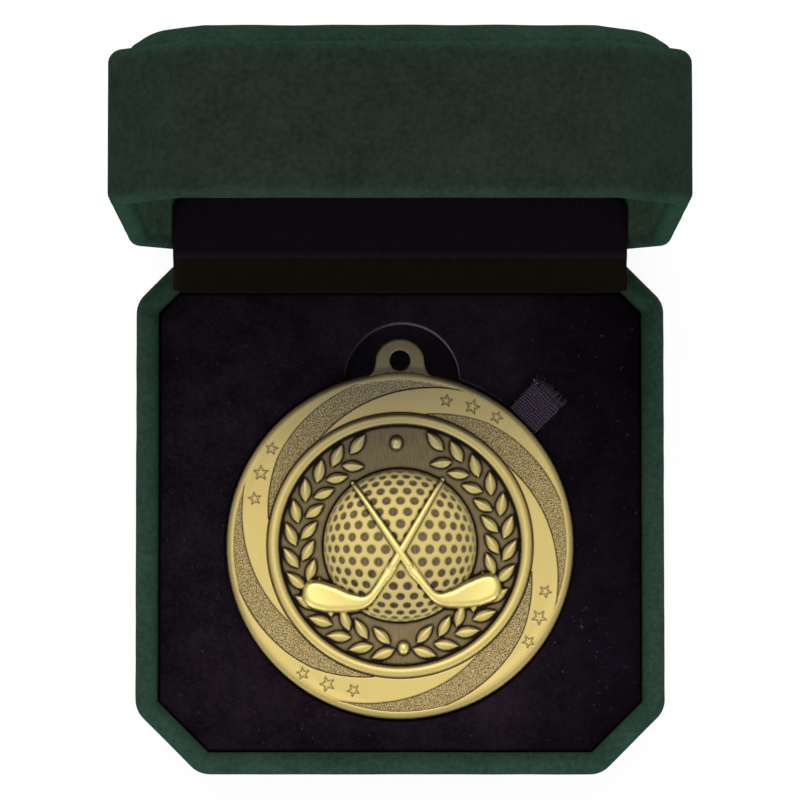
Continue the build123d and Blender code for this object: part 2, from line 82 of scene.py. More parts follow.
def smoothstep(low, high, value):
    t = np.clip((value - low) / (high - low), 0.0, 1.0)
    return t * t * (3 - 2 * t)


def make_object(name, points, faces, weld=True):
    """Object from points in millimetres; weld joins the points that coincide."""
    mesh = bpy.data.meshes.new(name)
    mesh.from_pydata((np.asarray(points, float) * MM).tolist(), [], faces)
    mesh.update()
    if weld:
        bm = bmesh.new()
        bm.from_mesh(mesh)
        bmesh.ops.remove_doubles(bm, verts=bm.verts, dist=1e-7)
        bmesh.ops.recalc_face_normals(bm, faces=bm.faces)
        bm.to_mesh(mesh)
        bm.free()
    mesh.polygons.foreach_set("use_smooth", [True] * len(mesh.polygons))
    obj = bpy.data.objects.new(name, mesh)
    bpy.context.scene.collection.objects.link(obj)
    return obj


def put_attribute(obj, name, values):
    layer = obj.data.attributes.new(name, "FLOAT", "POINT")
    layer.data.foreach_set("value", np.asarray(values, np.float32))


def mesh_points(obj):
    """Places of the object's points in millimetres."""
    co = np.zeros(len(obj.data.vertices) * 3)
    obj.data.vertices.foreach_get("co", co)
    return co.reshape(-1, 3) / MM


def loft_faces(rows, cols, close_rows=False, first=0):
    """Quads between closed rings of points."""
    faces = []
    last = rows if close_rows else rows - 1
    for i in range(last):
        a = first + i * cols
        b = first + ((i + 1) % rows) * cols
        for j in range(cols):
            k = (j + 1) % cols
            faces.append((a + j, a + k, b + k, b + j))
    return faces


def sheet_faces(rows, cols, first=0):
    """Quads of an open grid."""
    faces = []
    for i in range(rows - 1):
        for j in range(cols - 1):
            a = first + i * cols + j
            faces.append((a, a + 1, a + cols + 1, a + cols))
    return faces


def slab_faces(rows, cols):
    """Faces of two equal grids, one behind the other, and of the edge between them."""
    shift = rows * cols
    out = sheet_faces(rows, cols) + sheet_faces(rows, cols, shift)
    edge = list(range(cols))
    edge += [i * cols + cols - 1 for i in range(1, rows)]
    edge += [(rows - 1) * cols + j for j in range(cols - 2, -1, -1)]
    edge += [i * cols for i in range(rows - 2, 0, -1)]
    for a, b in zip(edge, edge[1:] + edge[:1]):
        out.append((a, b, b + shift, a + shift))
    return out


def capped(rings):
    """Points and faces of rings, closed with a point in the middle of the last and of the first."""
    cols = len(rings[0])
    faces = loft_faces(len(rings), cols)
    points = [p for ring in rings for p in ring]
    for first in ((len(rings) - 1) * cols, 0):
        middle = len(points)
        points.append(np.mean(points[first : first + cols], axis=0))
        faces += [(first + j, first + (j + 1) % cols, middle) for j in range(cols)]
    return np.array(points), faces


def add_floor(points, faces, rings, centre):
    """Adds a stack of rings and the point in its middle to a mesh."""
    first, cols = len(points), len(rings[0])
    points = np.vstack([points, *rings, [centre]])
    faces += loft_faces(len(rings), cols, False, first)
    middle = len(points) - 1
    start = middle - cols
    faces += [(start + k, start + (k + 1) % cols, middle) for k in range(cols)]
    return points


def ring_at(cx, cy, radius, z, theta):
    """Ring of points round (cx, cy) at one height."""
    x, y = cx + radius * np.cos(theta), cy + radius * np.sin(theta)
    return np.column_stack((x, y, np.full(theta.shape, z)))


def path_normals(path):
    """Unit normals of a flat path at its points."""
    tangent = np.gradient(path, axis=0)
    tangent /= np.linalg.norm(tangent, axis=1)[:, None]
    return np.column_stack((-tangent[:, 1], tangent[:, 0]))


def arc(cx, cy, radius, start, end, count):
    """Points along an arc, angles in degrees."""
    out = []
    for i in range(count + 1):
        a = math.radians(start + (end - start) * i / count)
        out.append((cx + radius * math.cos(a), cy + radius * math.sin(a)))
    return out


def octagon_loop(width, depth, cut, radius, inset, long_count=64, cut_count=14, arc_count=8):
    """Closed outline with cut and rounded corners, drawn in by inset, always with as many points."""
    hx, hy = width / 2 - inset, depth / 2 - inset
    leg = cut - SHRINK * inset
    corners = [
        (hx, leg - hy),
        (hx, hy - leg),
        (hx - leg, hy),
        (leg - hx, hy),
        (-hx, hy - leg),
        (-hx, leg - hy),
        (leg - hx, -hy),
        (hx - leg, -hy),
    ]
    corners = [np.array(c) for c in corners]
    r = max(radius - inset, 0.4)
    back = r * math.tan(math.radians(22.5))
    points = []
    for i in range(8):
        before, here, after = corners[i - 1], corners[i], corners[(i + 1) % 8]
        into = (here - before) / np.linalg.norm(here - before)
        out = (after - here) / np.linalg.norm(after - here)
        normal = np.array((-into[1], into[0]))
        centre = here - into * back + normal * r
        start = here - into * back - centre
        for k in range(arc_count):
            turn = math.radians(45 * k / arc_count)
            c, s = math.cos(turn), math.sin(turn)
            points.append(centre + np.array((c * start[0] - s * start[1], s * start[0] + c * start[1])))
        a = here + out * back
        b = after - out * back
        count = long_count if i % 2 == 0 else cut_count
        for k in range(count):
            points.append(a + (b - a) * k / count)
    return np.array(points)


def base_loop(inset):
    return octagon_loop(BASE_W, BASE_D, CUT, CORNER_R, inset)


def lid_loop(inset):
    return octagon_loop(LID_W, LID_D, LID_CUT, LID_R, inset)


def sweep(loop, profile, lift):
    """Rings of an outline for each (inset, height) of a profile."""
    rings = []
    for inset, height in profile:
        ring = loop(inset)
        rings.append(np.column_stack((ring, np.full(len(ring), lift + height))))
    return rings


def open_lid(points):
    """Turns points of the shut lid to their open place."""
    p = np.array(points, float)
    y = HINGE_Y + (p[:, 2] - HINGE_Z)
    z = HINGE_Z - (p[:, 1] - HINGE_Y)
    return np.column_stack((p[:, 0], y, z))


def cut_with_box(obj, low, high):
    """Takes a box out of an object; limits are in millimetres."""
    bm = bmesh.new()
    bmesh.ops.create_cube(bm, size=1.0)
    low, high = np.array(low) * MM, np.array(high) * MM
    for v in bm.verts:
        for k in range(3):
            v.co[k] = low[k] if v.co[k] < 0 else high[k]
    mesh = bpy.data.meshes.new("cutter")
    bm.to_mesh(mesh)
    bm.free()
    cutter = bpy.data.objects.new("cutter", mesh)
    bpy.context.scene.collection.objects.link(cutter)
    mod = obj.modifiers.new("cut", "BOOLEAN")
    mod.operation = "DIFFERENCE"
    mod.object = cutter
    mod.solver = "EXACT"
    deps = bpy.context.evaluated_depsgraph_get()
    result = bpy.data.meshes.new_from_object(obj.evaluated_get(deps))
    obj.modifiers.clear()
    obj.data = result
    bpy.data.objects.remove(cutter)


# Materials


class Nodes:
    """Short way to build a material's nodes."""

    def __init__(self, name):
        self.mat = bpy.data.materials.new(name)
        self.mat.use_nodes = True
        self.tree = self.mat.node_tree
        self.tree.nodes.clear()
        self.out = self.tree.nodes.new("ShaderNodeOutputMaterial")
        self.bsdf = self.tree.nodes.new("ShaderNodeBsdfPrincipled")
        self.tree.links.new(self.bsdf.outputs[0], self.out.inputs[0])

    def add(self, kind, **inputs):
        node = self.tree.nodes.new(kind)
        for key, value in inputs.items():
            node.inputs[key.replace("_", " ")].default_value = value
        return node

    def link(self, a, b):
        self.tree.links.new(a, b)

    def coords(self, scale=(1, 1, 1), rotation=(0, 0, 0)):
        tex = self.tree.nodes.new("ShaderNodeTexCoord")
        mapping = self.tree.nodes.new("ShaderNodeMapping")
        mapping.inputs["Scale"].default_value = scale
        mapping.inputs["Rotation"].default_value = rotation
        self.link(tex.outputs["Object"], mapping.inputs["Vector"])
        return mapping.outputs[0]

    def noise(self, scale, detail=3.0, rough=0.5, stretch=(1, 1, 1), rotation=(0, 0, 0)):
        node = self.add("ShaderNodeTexNoise", Scale=scale, Detail=detail, Roughness=rough)
        self.link(self.coords(stretch, rotation), node.inputs["Vector"])
        return node.outputs["Fac"]

    def attribute(self, name):
        node = self.tree.nodes.new("ShaderNodeAttribute")
        node.attribute_name = name
        return node.outputs["Fac"]

    def ramp(self, factor, stops):
        node = self.tree.nodes.new("ShaderNodeValToRGB")
        ramp = node.color_ramp
        ramp.elements[0].position, ramp.elements[0].color = stops[0][0], (*stops[0][1], 1)
        ramp.elements[1].position, ramp.elements[1].color = stops[-1][0], (*stops[-1][1], 1)
        for place, colour in stops[1:-1]:
            ramp.elements.new(place).color = (*colour, 1)
        self.link(factor, node.inputs["Fac"])
        return node.outputs["Color"]

    def math(self, kind, a, b=None, clamp=False):
        node = self.tree.nodes.new("ShaderNodeMath")
        node.operation = kind
        node.use_clamp = clamp
        for socket, value in zip(node.inputs, (a, b)):
            if value is None:
                continue
            if isinstance(value, (int, float)):
                socket.default_value = value
            else:
                self.link(value, socket)
        return node.outputs[0]

    def weighted(self, first, *others):
        """Sum of values, each times its share."""
        total = self.math("MULTIPLY", *first)
        for pair in others:
            total = self.math("ADD", total, self.math("MULTIPLY", *pair))
        return total

    def mix(self, factor, a, b, blend="MIX"):
        node = self.tree.nodes.new("ShaderNodeMix")
        node.data_type = "RGBA"
        node.blend_type = blend
        for socket, value in ((node.inputs[0], factor), (node.inputs[6], a), (node.inputs[7], b)):
            if isinstance(value, (int, float)):
                socket.default_value = value
            elif isinstance(value, tuple):
                socket.default_value = (*value, 1) if len(value) == 3 else value
            else:
                self.link(value, socket)
        return node.outputs[2]

    def bump(self, height, strength, distance, normal=None):
        node = self.add("ShaderNodeBump", Strength=strength, Distance=distance)
        self.link(height, node.inputs["Height"])
        if normal is not None:
            self.link(normal, node.inputs["Normal"])
        self.link(node.outputs[0], self.bsdf.inputs["Normal"])
        return node.outputs[0]

    def set(self, name, value):
        if isinstance(value, (int, float, tuple)):
            self.bsdf.inputs[name].default_value = value
        else:
            self.link(value, self.bsdf.inputs[name])


def pile_material(name, dark, light, sheen_tint, sheen, sheen_rough, fibre=5200.0, bump=0.35):
    """Short-pile cloth: soft mottling, brushed nap, sheen at grazing edges, and painted sheen and painted
    fill light from two attributes.
    """
    n = Nodes(name)
    fine = n.noise(fibre, 2.0, 0.6)
    clump = n.noise(1050.0, 3.0, 0.6)
    nap = n.noise(210.0, 3.0, 0.6, (1.0, 1.0, 0.6))
    cloud = n.noise(38.0, 2.0, 0.5)
    mixed = n.weighted((fine, 0.2), (clump, 0.4), (nap, 0.25), (cloud, 0.15))
    cloth = n.ramp(mixed, [(0.38, dark), (0.62, light)])
    # painted sheen brightens and greens the cloth where the attribute bend is set, on rims and the pillow,
    # and painted fill light brightens the shaded inside of the lid
    painted_sheen_colour = n.mix(1.0, cloth, (1.45, 2.25, 2.15), "MULTIPLY")
    cloth = n.mix(n.attribute("bend"), cloth, painted_sheen_colour)
    painted_fill_light = n.mix(1.0, cloth, (3.20, 4.00, 3.40), "MULTIPLY")
    n.set("Base Color", n.mix(n.attribute("painted_fill_light"), cloth, painted_fill_light))
    n.set("Roughness", 1.0)
    n.set("Specular IOR Level", 0.0)
    n.set("Sheen Weight", sheen)
    n.set("Sheen Roughness", sheen_rough)
    n.set("Sheen Tint", (*sheen_tint, 1))
    first = n.bump(fine, bump, 0.00012)
    n.bump(nap, bump * 0.5, 0.0003, first)
    return n.mat


def plain_material(name, dark, light, rough, scale, bump=0.2, metallic=0.0, stretch=(1, 1, 1)):
    """Material with mottled colour and a fine grain."""
    n = Nodes(name)
    grain = n.noise(scale, 4.0, 0.6, stretch)
    n.set("Base Color", n.ramp(grain, [(0.3, dark), (0.7, light)]))
    n.set("Metallic", metallic)
    low = rough - 0.08
    node = n.tree.nodes.new("ShaderNodeMapRange")
    node.inputs["To Min"].default_value = low
    node.inputs["To Max"].default_value = rough + 0.08
    n.link(grain, node.inputs["Value"])
    n.set("Roughness", node.outputs[0])
    n.bump(grain, bump, 0.0001)
    return n.mat


VELOUR = pile_material(
    "velour_green_cloth", (0.0088, 0.0116, 0.0087), (0.0195, 0.0253, 0.0198), (0.14, 0.80, 0.46), 0.035, 0.80
)
VELVET = pile_material(
    "velvet_black_cloth", (0.0066, 0.0045, 0.0073), (0.0132, 0.0093, 0.0143), (0.72, 0.55, 0.80), 0.04, 0.7
)
FELT = plain_material("felt_black", (0.008, 0.008, 0.008), (0.03, 0.03, 0.03), 0.9, 2600.0, 0.8)
SHELL = plain_material("moulded_plastic", (0.04, 0.04, 0.042), (0.055, 0.055, 0.056), 0.5, 1800.0, 0.15)
FOAM = plain_material("grey_foam", (0.08, 0.08, 0.085), (0.15, 0.15, 0.16), 0.95, 2400.0, 0.9)
CARD = plain_material("grey_card", (0.33, 0.27, 0.2), (0.46, 0.39, 0.3), 0.85, 1500.0, 0.3, 0.0, (1, 4, 1))
STEEL = plain_material(
    "plated_steel", (0.42, 0.42, 0.43), (0.62, 0.62, 0.63), 0.34, 900.0, 0.15, metallic=1.0, stretch=(8, 1, 1)
)
SPRING = plain_material(
    "blued_steel", (0.16, 0.17, 0.2), (0.28, 0.29, 0.33), 0.32, 900.0, 0.15, metallic=1.0, stretch=(1, 6, 1)
)


def assign(obj, mat):
    obj.data.materials.clear()
    obj.data.materials.append(mat)


# Covers of the base and the lid


def base_cover_profile():
    """Closed section of the base's cloth, as (inset, height)."""
    path = [(3.8, 0.2), (2.4, 0.2), (0.9, 0.2)]
    path += arc(0.8, 1.0, 0.8, 270, 180, 5)
    path += [(0.0, z) for z in (2.5, 6, 10, 14, 17.5, 19.4)]
    path += arc(1.9, 20.1, 1.9, 180, 0, 20)
    path += [(3.8, z) for z in (19.4, 17, 14, 10.5)]
    path += [(3.3, 10.5), (3.25, 14), (3.2, 20.6), (2.95, 21.2), (2.6, 21.42)]
    path += [(1.2, 21.42), (0.85, 21.2), (0.6, 20.6)]
    path += [(0.6, 14), (0.6, 6), (0.65, 0.85), (2.4, 0.8), (3.8, 0.75)]
    return path


def lid_cover_profile():
    """Closed section of the lid's cloth, heights up from the shut lid's rim."""
    path = [(3.8, 17.0), (3.8, 12), (3.8, 7), (3.8, 3), (3.8, 2.3)]
    path += arc(1.9, 1.9, 1.9, 0, -180, 20)
    path += [(0.0, z) for z in (3, 7, 12, 17, 20, 21.6)]
    path += arc(2.3, 22.5, 2.3, 180, 90, 10)
    path += [(3.2, 24.8), (4.5, 24.8), (7.0, 24.8)]
    path += [(7.0, 24.25), (4.5, 24.22), (2.4, 24.2), (1.3, 23.75), (0.75, 23.1), (0.62, 22.2)]
    path += [(0.6, 17), (0.6, 7), (0.6, 1.4), (0.85, 0.8), (1.2, 0.58), (2.6, 0.58), (2.95, 0.8), (3.2, 1.4)]
    path += [(3.2, 7), (3.2, 16.9)]
    return path


def soften(points, size, seed):
    """Small wandering of cloth points, smooth over several millimetres."""
    rng = np.random.default_rng(seed)
    p = np.array(points, float)
    moved = np.zeros_like(p)
    for k in range(10):
        wave = rng.normal(size=3) * 0.32
        phase = rng.uniform(0, 6.28)
        way = rng.normal(size=3)
        moved += np.sin(p @ wave + phase)[:, None] * way / np.linalg.norm(way)
    return p + moved * size / 3.2


base_rings = sweep(base_loop, base_cover_profile(), 0.0)
count = len(base_rings[0])
points = soften(np.vstack(base_rings), 0.03, 3)
base_cloth = make_object("base_cloth", points, loft_faces(len(base_rings), count, True))
# painted sheen on the rounded top of the base's rim
put_attribute(base_cloth, "bend", smoothstep(19.8, 21.0, mesh_points(base_cloth)[:, 2]))
assign(base_cloth, VELOUR)
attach(base_cloth, "base")
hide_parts("base_cover")

lid_rings = sweep(lid_loop, lid_cover_profile(), LID_RIM_Z)
points = open_lid(soften(np.vstack(lid_rings), 0.03, 5))
lid_cloth = make_object("lid_cloth", points, loft_faces(len(lid_rings), count, True))
notch_half = 32.48
cut_with_box(lid_cloth, (-notch_half, 43.0, 15.0), (notch_half, 47.1, 29.0))
lid_cloth.data.polygons.foreach_set("use_smooth", [True] * len(lid_cloth.data.polygons))
where = mesh_points(lid_cloth)
from_rim = where[:, 1] - HINGE_Y - LID_RIM_Z + HINGE_Z
high_side = smoothstep(105.0, 112.0, where[:, 2])
at_rim = 1 - smoothstep(0.4, 2.0, from_rim)
at_top = smoothstep(22.2, 24.4, from_rim)
# painted sheen on the lid's rim and along its top seam
put_attribute(lid_cloth, "bend", np.maximum(at_rim * (0.75 - 0.33 * high_side), 0.50 * at_top))
aside, ahead = np.abs(where[:, 0]), np.abs(HINGE_Y + HINGE_Z - where[:, 2])
inset = np.minimum(LID_W / 2 - aside, LID_D / 2 - ahead)
inset = np.minimum(inset, (LID_W / 2 + LID_D / 2 - LID_CUT - aside - ahead) * math.sqrt(0.5))
in_lid = smoothstep(2.2, 3.0, inset) * (from_rim < 18.0)
# painted fill light: the shaded inside walls of the open lid are lightened
put_attribute(lid_cloth, "painted_fill_light", smoothstep(0.9, 2.6, from_rim) * in_lid)
assign(lid_cloth, VELOUR)
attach(lid_cloth, "lid")
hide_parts("lid_cover")


# Padded top of the lid


def pad_points(loop, levels, centre_levels, lift):
    """Rings of a pad; after the last outline ring it closes towards the middle."""
    rings = sweep(loop, levels, lift)
    last = rings[-1]
    middle = last[:, :2].mean(0)
    for share, height in centre_levels:
        ring = last.copy()
        ring[:, :2] = middle + (last[:, :2] - middle) * share
        ring[:, 2] = lift + height
        rings.append(ring)
    return rings


def lid_pillow():
    """The velour cushion of the lid's top, with its tucked seam, round shoulders and swelling crown."""
    top = LID_WALL
    levels = [(7.6, top + 0.04), (4.2, top + 0.04), (3.55, top + 0.03)]
    shoulder = [
        (3.50, 0.10),
        (3.62, 0.30),
        (3.80, 0.54),
        (4.00, 0.76),
        (4.25, 0.96),
        (4.60, 1.20),
        (5.10, 1.56),
        (5.60, 1.93),
        (6.10, 2.26),
        (6.70, 2.60),
        (7.35, 2.90),
        (8.0, 3.14),
        (8.7, 3.34),
        (9.5, 3.50),
        (10.5, 3.62),
        (12.5, 3.72),
        (14.5, 3.77),
    ]
    levels += [(inset, top + rise) for inset, rise in shoulder]
    inner = [(s, top + 3.77 + 0.12 * (1 - s * s)) for s in (0.9, 0.75, 0.6, 0.45, 0.3, 0.15, 0.05)]
    pts, faces = capped(pad_points(lid_loop, levels, inner, LID_RIM_Z))
    return open_lid(soften(pts, 0.10, 11)), faces


points, faces = lid_pillow()
pillow = make_object("lid_pillow", points, faces)
# painted sheen over the whole pillow
put_attribute(pillow, "bend", np.full(len(pillow.data.vertices), 0.48))
assign(pillow, VELOUR)
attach(pillow, "lid")
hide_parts("lid_top_cover", "lid_top_foam")


# Padded lining inside the lid


def lining_loop(inset):
    """Outline of the lid's lining; its hinge side stops short of the black strip."""
    ring = lid_loop(inset + RIM_W + 0.4)
    back = LID_D / 2 - 9.5 - 0.5 - 0.4 - inset
    ring[:, 1] = np.minimum(ring[:, 1], back)
    return ring


def lid_lining():
    """The lining's pad, with its tucked edge and a slight crown into the lid's room."""
    top = CEILING
    levels = [(1.0, top - 0.1), (0.25, top - 0.3), (0.0, top - 1.0), (0.0, top - 3.0)]
    levels += [(0.12, top - 3.7), (0.45, top - 4.3), (1.0, top - 4.72), (2.0, top - 4.95)]
    levels += [(3.5, top - 5.02), (5.5, top - 5.12), (8.0, top - 5.22)]
    inner = [(s, top - 5.22 - 0.23 * (1 - s * s)) for s in (0.88, 0.72, 0.55, 0.38, 0.2, 0.08)]
    pts, faces = capped(pad_points(lining_loop, levels, inner, LID_RIM_Z))
    return open_lid(soften(pts, 0.05, 17)), faces


points, faces = lid_lining()
lining = make_object("lid_lining", points, faces)
assign(lining, VELVET)
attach(lining, "lid")
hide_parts("lid_lining_cover", "lid_lining_pad")


# Velvet insert with its round recess and finger notch

VELVET_COLS = 1440


def notch_hits(theta):
    """Near and far distance of the notch's circle from the medal's middle, and where a direction meets it."""
    distance = math.hypot(NOTCH_X, NOTCH_DY)
    turn = theta - math.atan2(NOTCH_DY, NOTCH_X)
    inside = NOTCH_R**2 - (distance * np.sin(turn)) ** 2
    half = np.sqrt(np.maximum(inside, 0))
    return distance * np.cos(turn) - half, distance * np.cos(turn) + half, (inside > 0) & (np.cos(turn) > 0)


def recess_edge(theta):
    """Distance of the recess's edge from the medal's middle, along each direction, and the floor there."""
    edge = np.full_like(theta, RECESS_R)
    floor = np.full_like(theta, RECESS_FLOOR)
    _, far, met = notch_hits(theta)
    notch = met & (far > edge)
    edge = np.where(notch, far, edge)
    floor = np.where(notch, NOTCH_FLOOR, floor)
    side = theta - RIBBON_ANGLE
    pocket = POCKET_R / np.cos(side)
    in_pocket = (np.abs(pocket * np.sin(side)) < POCKET_HALF) & (np.cos(side) > 0)
    edge = np.where(in_pocket, np.maximum(edge, pocket), edge)
    return edge, floor, notch


def insert_outline(theta, inset=0.0):
    """Distance of the insert's outer edge from the medal's middle, along each direction."""
    hx, hy = BASE_W / 2 - INSERT_BORDER - inset, BASE_D / 2 - INSERT_BORDER - inset
    leg = CUT - SHRINK * (INSERT_BORDER + inset)
    half = math.sqrt(0.5)
    diagonal = (hx + hy - leg) * half
    planes = [(1, 0, hx), (-1, 0, hx), (0, 1, INSERT_BACK - inset), (0, -1, hy)]
    planes += [(sx * half, sy * half, diagonal) for sx in (-1, 1) for sy in (-1, 1)]
    out = np.full_like(theta, 1e9)
    for nx, ny, d in planes:
        along = nx * np.cos(theta) + ny * np.sin(theta)
        room = d - ny * MEDAL_Y
        out = np.where(along > 1e-6, np.minimum(out, room / np.maximum(along, 1e-6)), out)
    return out


def insert_velvet():
    """Recess wall, fold, top and side of the insert's cloth, with how pale each point is, from wear of the
    pile along the cut edge and from painted highlight and painted light.
    """
    theta = np.arange(VELVET_COLS) * 2 * math.pi / VELVET_COLS
    c, s = np.cos(theta), np.sin(theta)
    edge, floor, notch = recess_edge(theta)
    rows, lines = [], []

    def add(radius, z, wear_and_painted_light):
        z = np.broadcast_to(z, theta.shape)
        rows.append(np.column_stack((radius * c, MEDAL_Y + radius * s, z)))
        lines.append(np.full(theta.shape, wear_and_painted_light))

    # radii of the fold into the recess and of the outer edge, width of the pale edge strip, foot of the side
    fold, outer_r, strip_w, foot = 0.34, 0.5, 0.26, 14.6
    add(edge, floor, 0.0)
    add(edge, floor + (INSERT_TOP - 0.35 - floor) * 0.5, 0.0)
    add(edge, INSERT_TOP - 0.42, 0.0)
    for k in range(1, 6):
        turn = math.radians(18 * k)
        pale_fold_here = 1.0 if k < 5 else 0.6
        add(edge + fold * (1 - math.cos(turn)), INSERT_TOP - fold + fold * math.sin(turn), pale_fold_here)
    outer = insert_outline(theta, outer_r)
    start = edge + fold
    add(start + 0.10, INSERT_TOP, 0.15)
    add(start + strip_w, INSERT_TOP, 0.0)
    for share in (0.08, 0.2, 0.35, 0.5, 0.65, 0.8, 0.92):
        add(start + strip_w + (outer - start - strip_w) * share, INSERT_TOP, 0.0)
    for k in range(6):
        turn = math.radians(90 - 18 * k)
        rim = insert_outline(theta, outer_r - outer_r * math.cos(turn))
        add(rim, INSERT_TOP - outer_r + outer_r * math.sin(turn), 0.0)
    add(insert_outline(theta, 0.0), foot, 0.0)
    pts = np.vstack(rows)
    faces = loft_faces(len(rows), VELVET_COLS)
    wear_and_painted_light = np.concatenate(lines)
    away = np.tile(theta, len(rows))
    around = np.arctan2(pts[:, 1] - MEDAL_Y - NOTCH_DY, pts[:, 0] - NOTCH_X)
    # painted highlight: the pale cut edge of the notch is brighter on the side where light catches it; the
    # pale edge itself is wear of the pile
    painted_lit_side = 0.16 + 0.84 * smoothstep(-0.1, 0.95, np.cos(around - math.radians(40)))
    on_notch = np.tile(notch, len(rows)).astype(float)
    beside = smoothstep(0.85, 1.26, away) * (away < 1.6)
    wear_and_painted_light = wear_and_painted_light * (1.15 * painted_lit_side * on_notch + 0.32 * beside * (1 - on_notch))
    return pts, faces, wear_and_painted_light


points, faces, wear_and_painted_light = insert_velvet()

# floor of the round recess, as rings round the medal's middle that stop at the notch
FLOOR_COLS = 360
floor_theta = np.arange(FLOOR_COLS) * 2 * math.pi / FLOOR_COLS
near, _, met = notch_hits(floor_theta)
near = np.where(met, near, RECESS_R)
floor_rings = []
for share in (1.0, 0.8, 0.6, 0.4, 0.2, 0.02):
    floor_rings.append(ring_at(0, MEDAL_Y, near * share, RECESS_FLOOR, floor_theta))
points = add_floor(points, faces, floor_rings, (0, MEDAL_Y, RECESS_FLOOR))

# inner wall and floor of the finger notch
notch_y = MEDAL_Y + NOTCH_DY
notch_levels = [(NOTCH_R, RECESS_FLOOR)]
notch_levels += [(radius, NOTCH_FLOOR) for radius in (NOTCH_R, NOTCH_R * 0.7, NOTCH_R * 0.35, 0.1)]
notch_rings = [ring_at(NOTCH_X, notch_y, radius, z, floor_theta) for radius, z in notch_levels]
points = add_floor(points, faces, notch_rings, (NOTCH_X, notch_y, NOTCH_FLOOR))
# painted light: the shaded floors of the recess and the notch are lightened
wear_and_painted_light = np.concatenate((wear_and_painted_light, np.full(len(points) - len(wear_and_painted_light), 0.16)))

velvet = make_object("velvet_insert", points, faces, weld=False)
put_attribute(velvet, "wear_and_painted_light", wear_and_painted_light)
# the velvet is darker towards its right side
put_attribute(velvet, "darker_right", smoothstep(15.0, 36.0, points[:, 0]))


def insert_material():
    """Black velvet whose pile is thin and pale along the cut edge of the notch, with painted highlight on
    that edge and painted light on the recess and notch floors.
    """
    n = Nodes("velvet_insert_cloth")
    fine = n.noise(3800.0, 2.0, 0.65)
    speck = n.noise(1250.0, 4.0, 0.75)
    nap = n.noise(190.0, 4.0, 0.65)
    drift = n.noise(26.0, 2.0, 0.5)
    mixed = n.weighted((fine, 0.2), (nap, 0.3), (speck, 0.3), (drift, 0.2))
    cloth = n.ramp(mixed, [(0.42, (0.0036, 0.0023, 0.0040)), (0.60, (0.0136, 0.0106, 0.0143))])
    # darker towards the right side of the insert
    cloth = n.mix(n.attribute("darker_right"), cloth, n.mix(1.0, cloth, (0.44, 0.37, 0.48), "MULTIPLY"))
    dust = n.math("MULTIPLY", n.math("SUBTRACT", n.noise(1700.0, 1.0, 0.5), 0.72, True), 8.0, True)
    cloth = n.mix(dust, cloth, (0.050, 0.042, 0.052))
    grain = n.math("ADD", n.math("MULTIPLY", speck, 1.1), 0.25)
    # pale edge from wear of the pile, with painted highlight and painted light
    wear_and_light_share = n.math("MULTIPLY", n.attribute("wear_and_painted_light"), grain, True)
    n.set("Base Color", n.mix(wear_and_light_share, cloth, (0.115, 0.098, 0.120)))
    n.set("Roughness", 1.0)
    n.set("Specular IOR Level", 0.0)
    n.set("Sheen Weight", 0.035)
    n.set("Sheen Roughness", 0.7)
    n.set("Sheen Tint", (0.72, 0.40, 0.80, 1))
    first_normal = n.bump(fine, 0.4, 0.00012)
    n.bump(nap, 0.2, 0.0003, first_normal)
    return n.mat


assign(velvet, insert_material())
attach(velvet, "base")
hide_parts("insert_velvet")


# Felt sole


def sole():
    """The felt sheet under the base."""
    section = [(9.0, 0.8), (4.3, 0.8), (4.1, 0.7), (4.1, 0.12), (4.25, 0.0), (9.0, 0.0)]
    return capped(sweep(base_loop, section, 0.0))


points, faces = sole()
sole_felt = make_object("felt_sole", points, faces)
assign(sole_felt, FELT)
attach(sole_felt, "base")
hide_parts("base_sole")


# Black strip over the hinge


def smooth_path(points, radius, step):
    """Runs of straight line joined by arcs, in the plane of the points."""
    pts = [np.array(p, float) for p in points]
    out = [pts[0]]
    for a, b, c in zip(pts, pts[1:], pts[2:]):
        u = (a - b) / np.linalg.norm(a - b)
        v = (c - b) / np.linalg.norm(c - b)
        angle = math.acos(np.clip(u @ v, -1, 1))
        cut = radius / math.tan(angle / 2)
        p, q = b + u * cut, b + v * cut
        for t in np.linspace(0, 1, 7):
            out.append((1 - t) ** 2 * p + 2 * t * (1 - t) * b + t**2 * q)
    out.append(pts[-1])
    dense = [out[0]]
    for a, b in zip(out, out[1:]):
        count = max(1, int(np.linalg.norm(b - a) / step))
        for k in range(1, count + 1):
            dense.append(a + (b - a) * k / count)
    return np.array(dense)


def hinge_strip():
    """The strip up from the insert's back edge, over the hinge and into the lid, narrower in the base."""
    path = smooth_path([(37.45, 16.5), (37.45, 22.8), (42.57, 31.8), (65.67, 31.8)], 1.2, 0.5)
    cols, gap, base_top = 61, 0.15, 22.6
    inside = BASE_D / 2 - RIM_W - gap
    pts = []
    for side in (0.25, -0.25):
        for (y, z), (ny, nz) in zip(path, path_normals(path) * side):
            low_half = BASE_W / 2 - RIM_W - gap - max(0.0, y - (inside - (CUT - SHRINK * (RIM_W + gap))))
            upper_half = 39.25 - 0.30 * smoothstep(base_top, 31.0, z) - 1.5 * smoothstep(50.4, 53.0, y)
            half = upper_half if z > base_top else min(low_half, 38.4)
            pts += [(x * half, y + ny, z + nz) for x in np.linspace(-1, 1, cols)]
    return np.array(pts, float), slab_faces(len(path), cols)


points, faces = hinge_strip()
strip = make_object("hinge_strip", points, faces)
where = mesh_points(strip)
lower_part = 1 - smoothstep(31.3, 31.7, where[:, 2])
put_attribute(strip, "lower", lower_part)
put_attribute(strip, "cut_edge", lower_part * smoothstep(38.3, 39.2, -where[:, 0]))


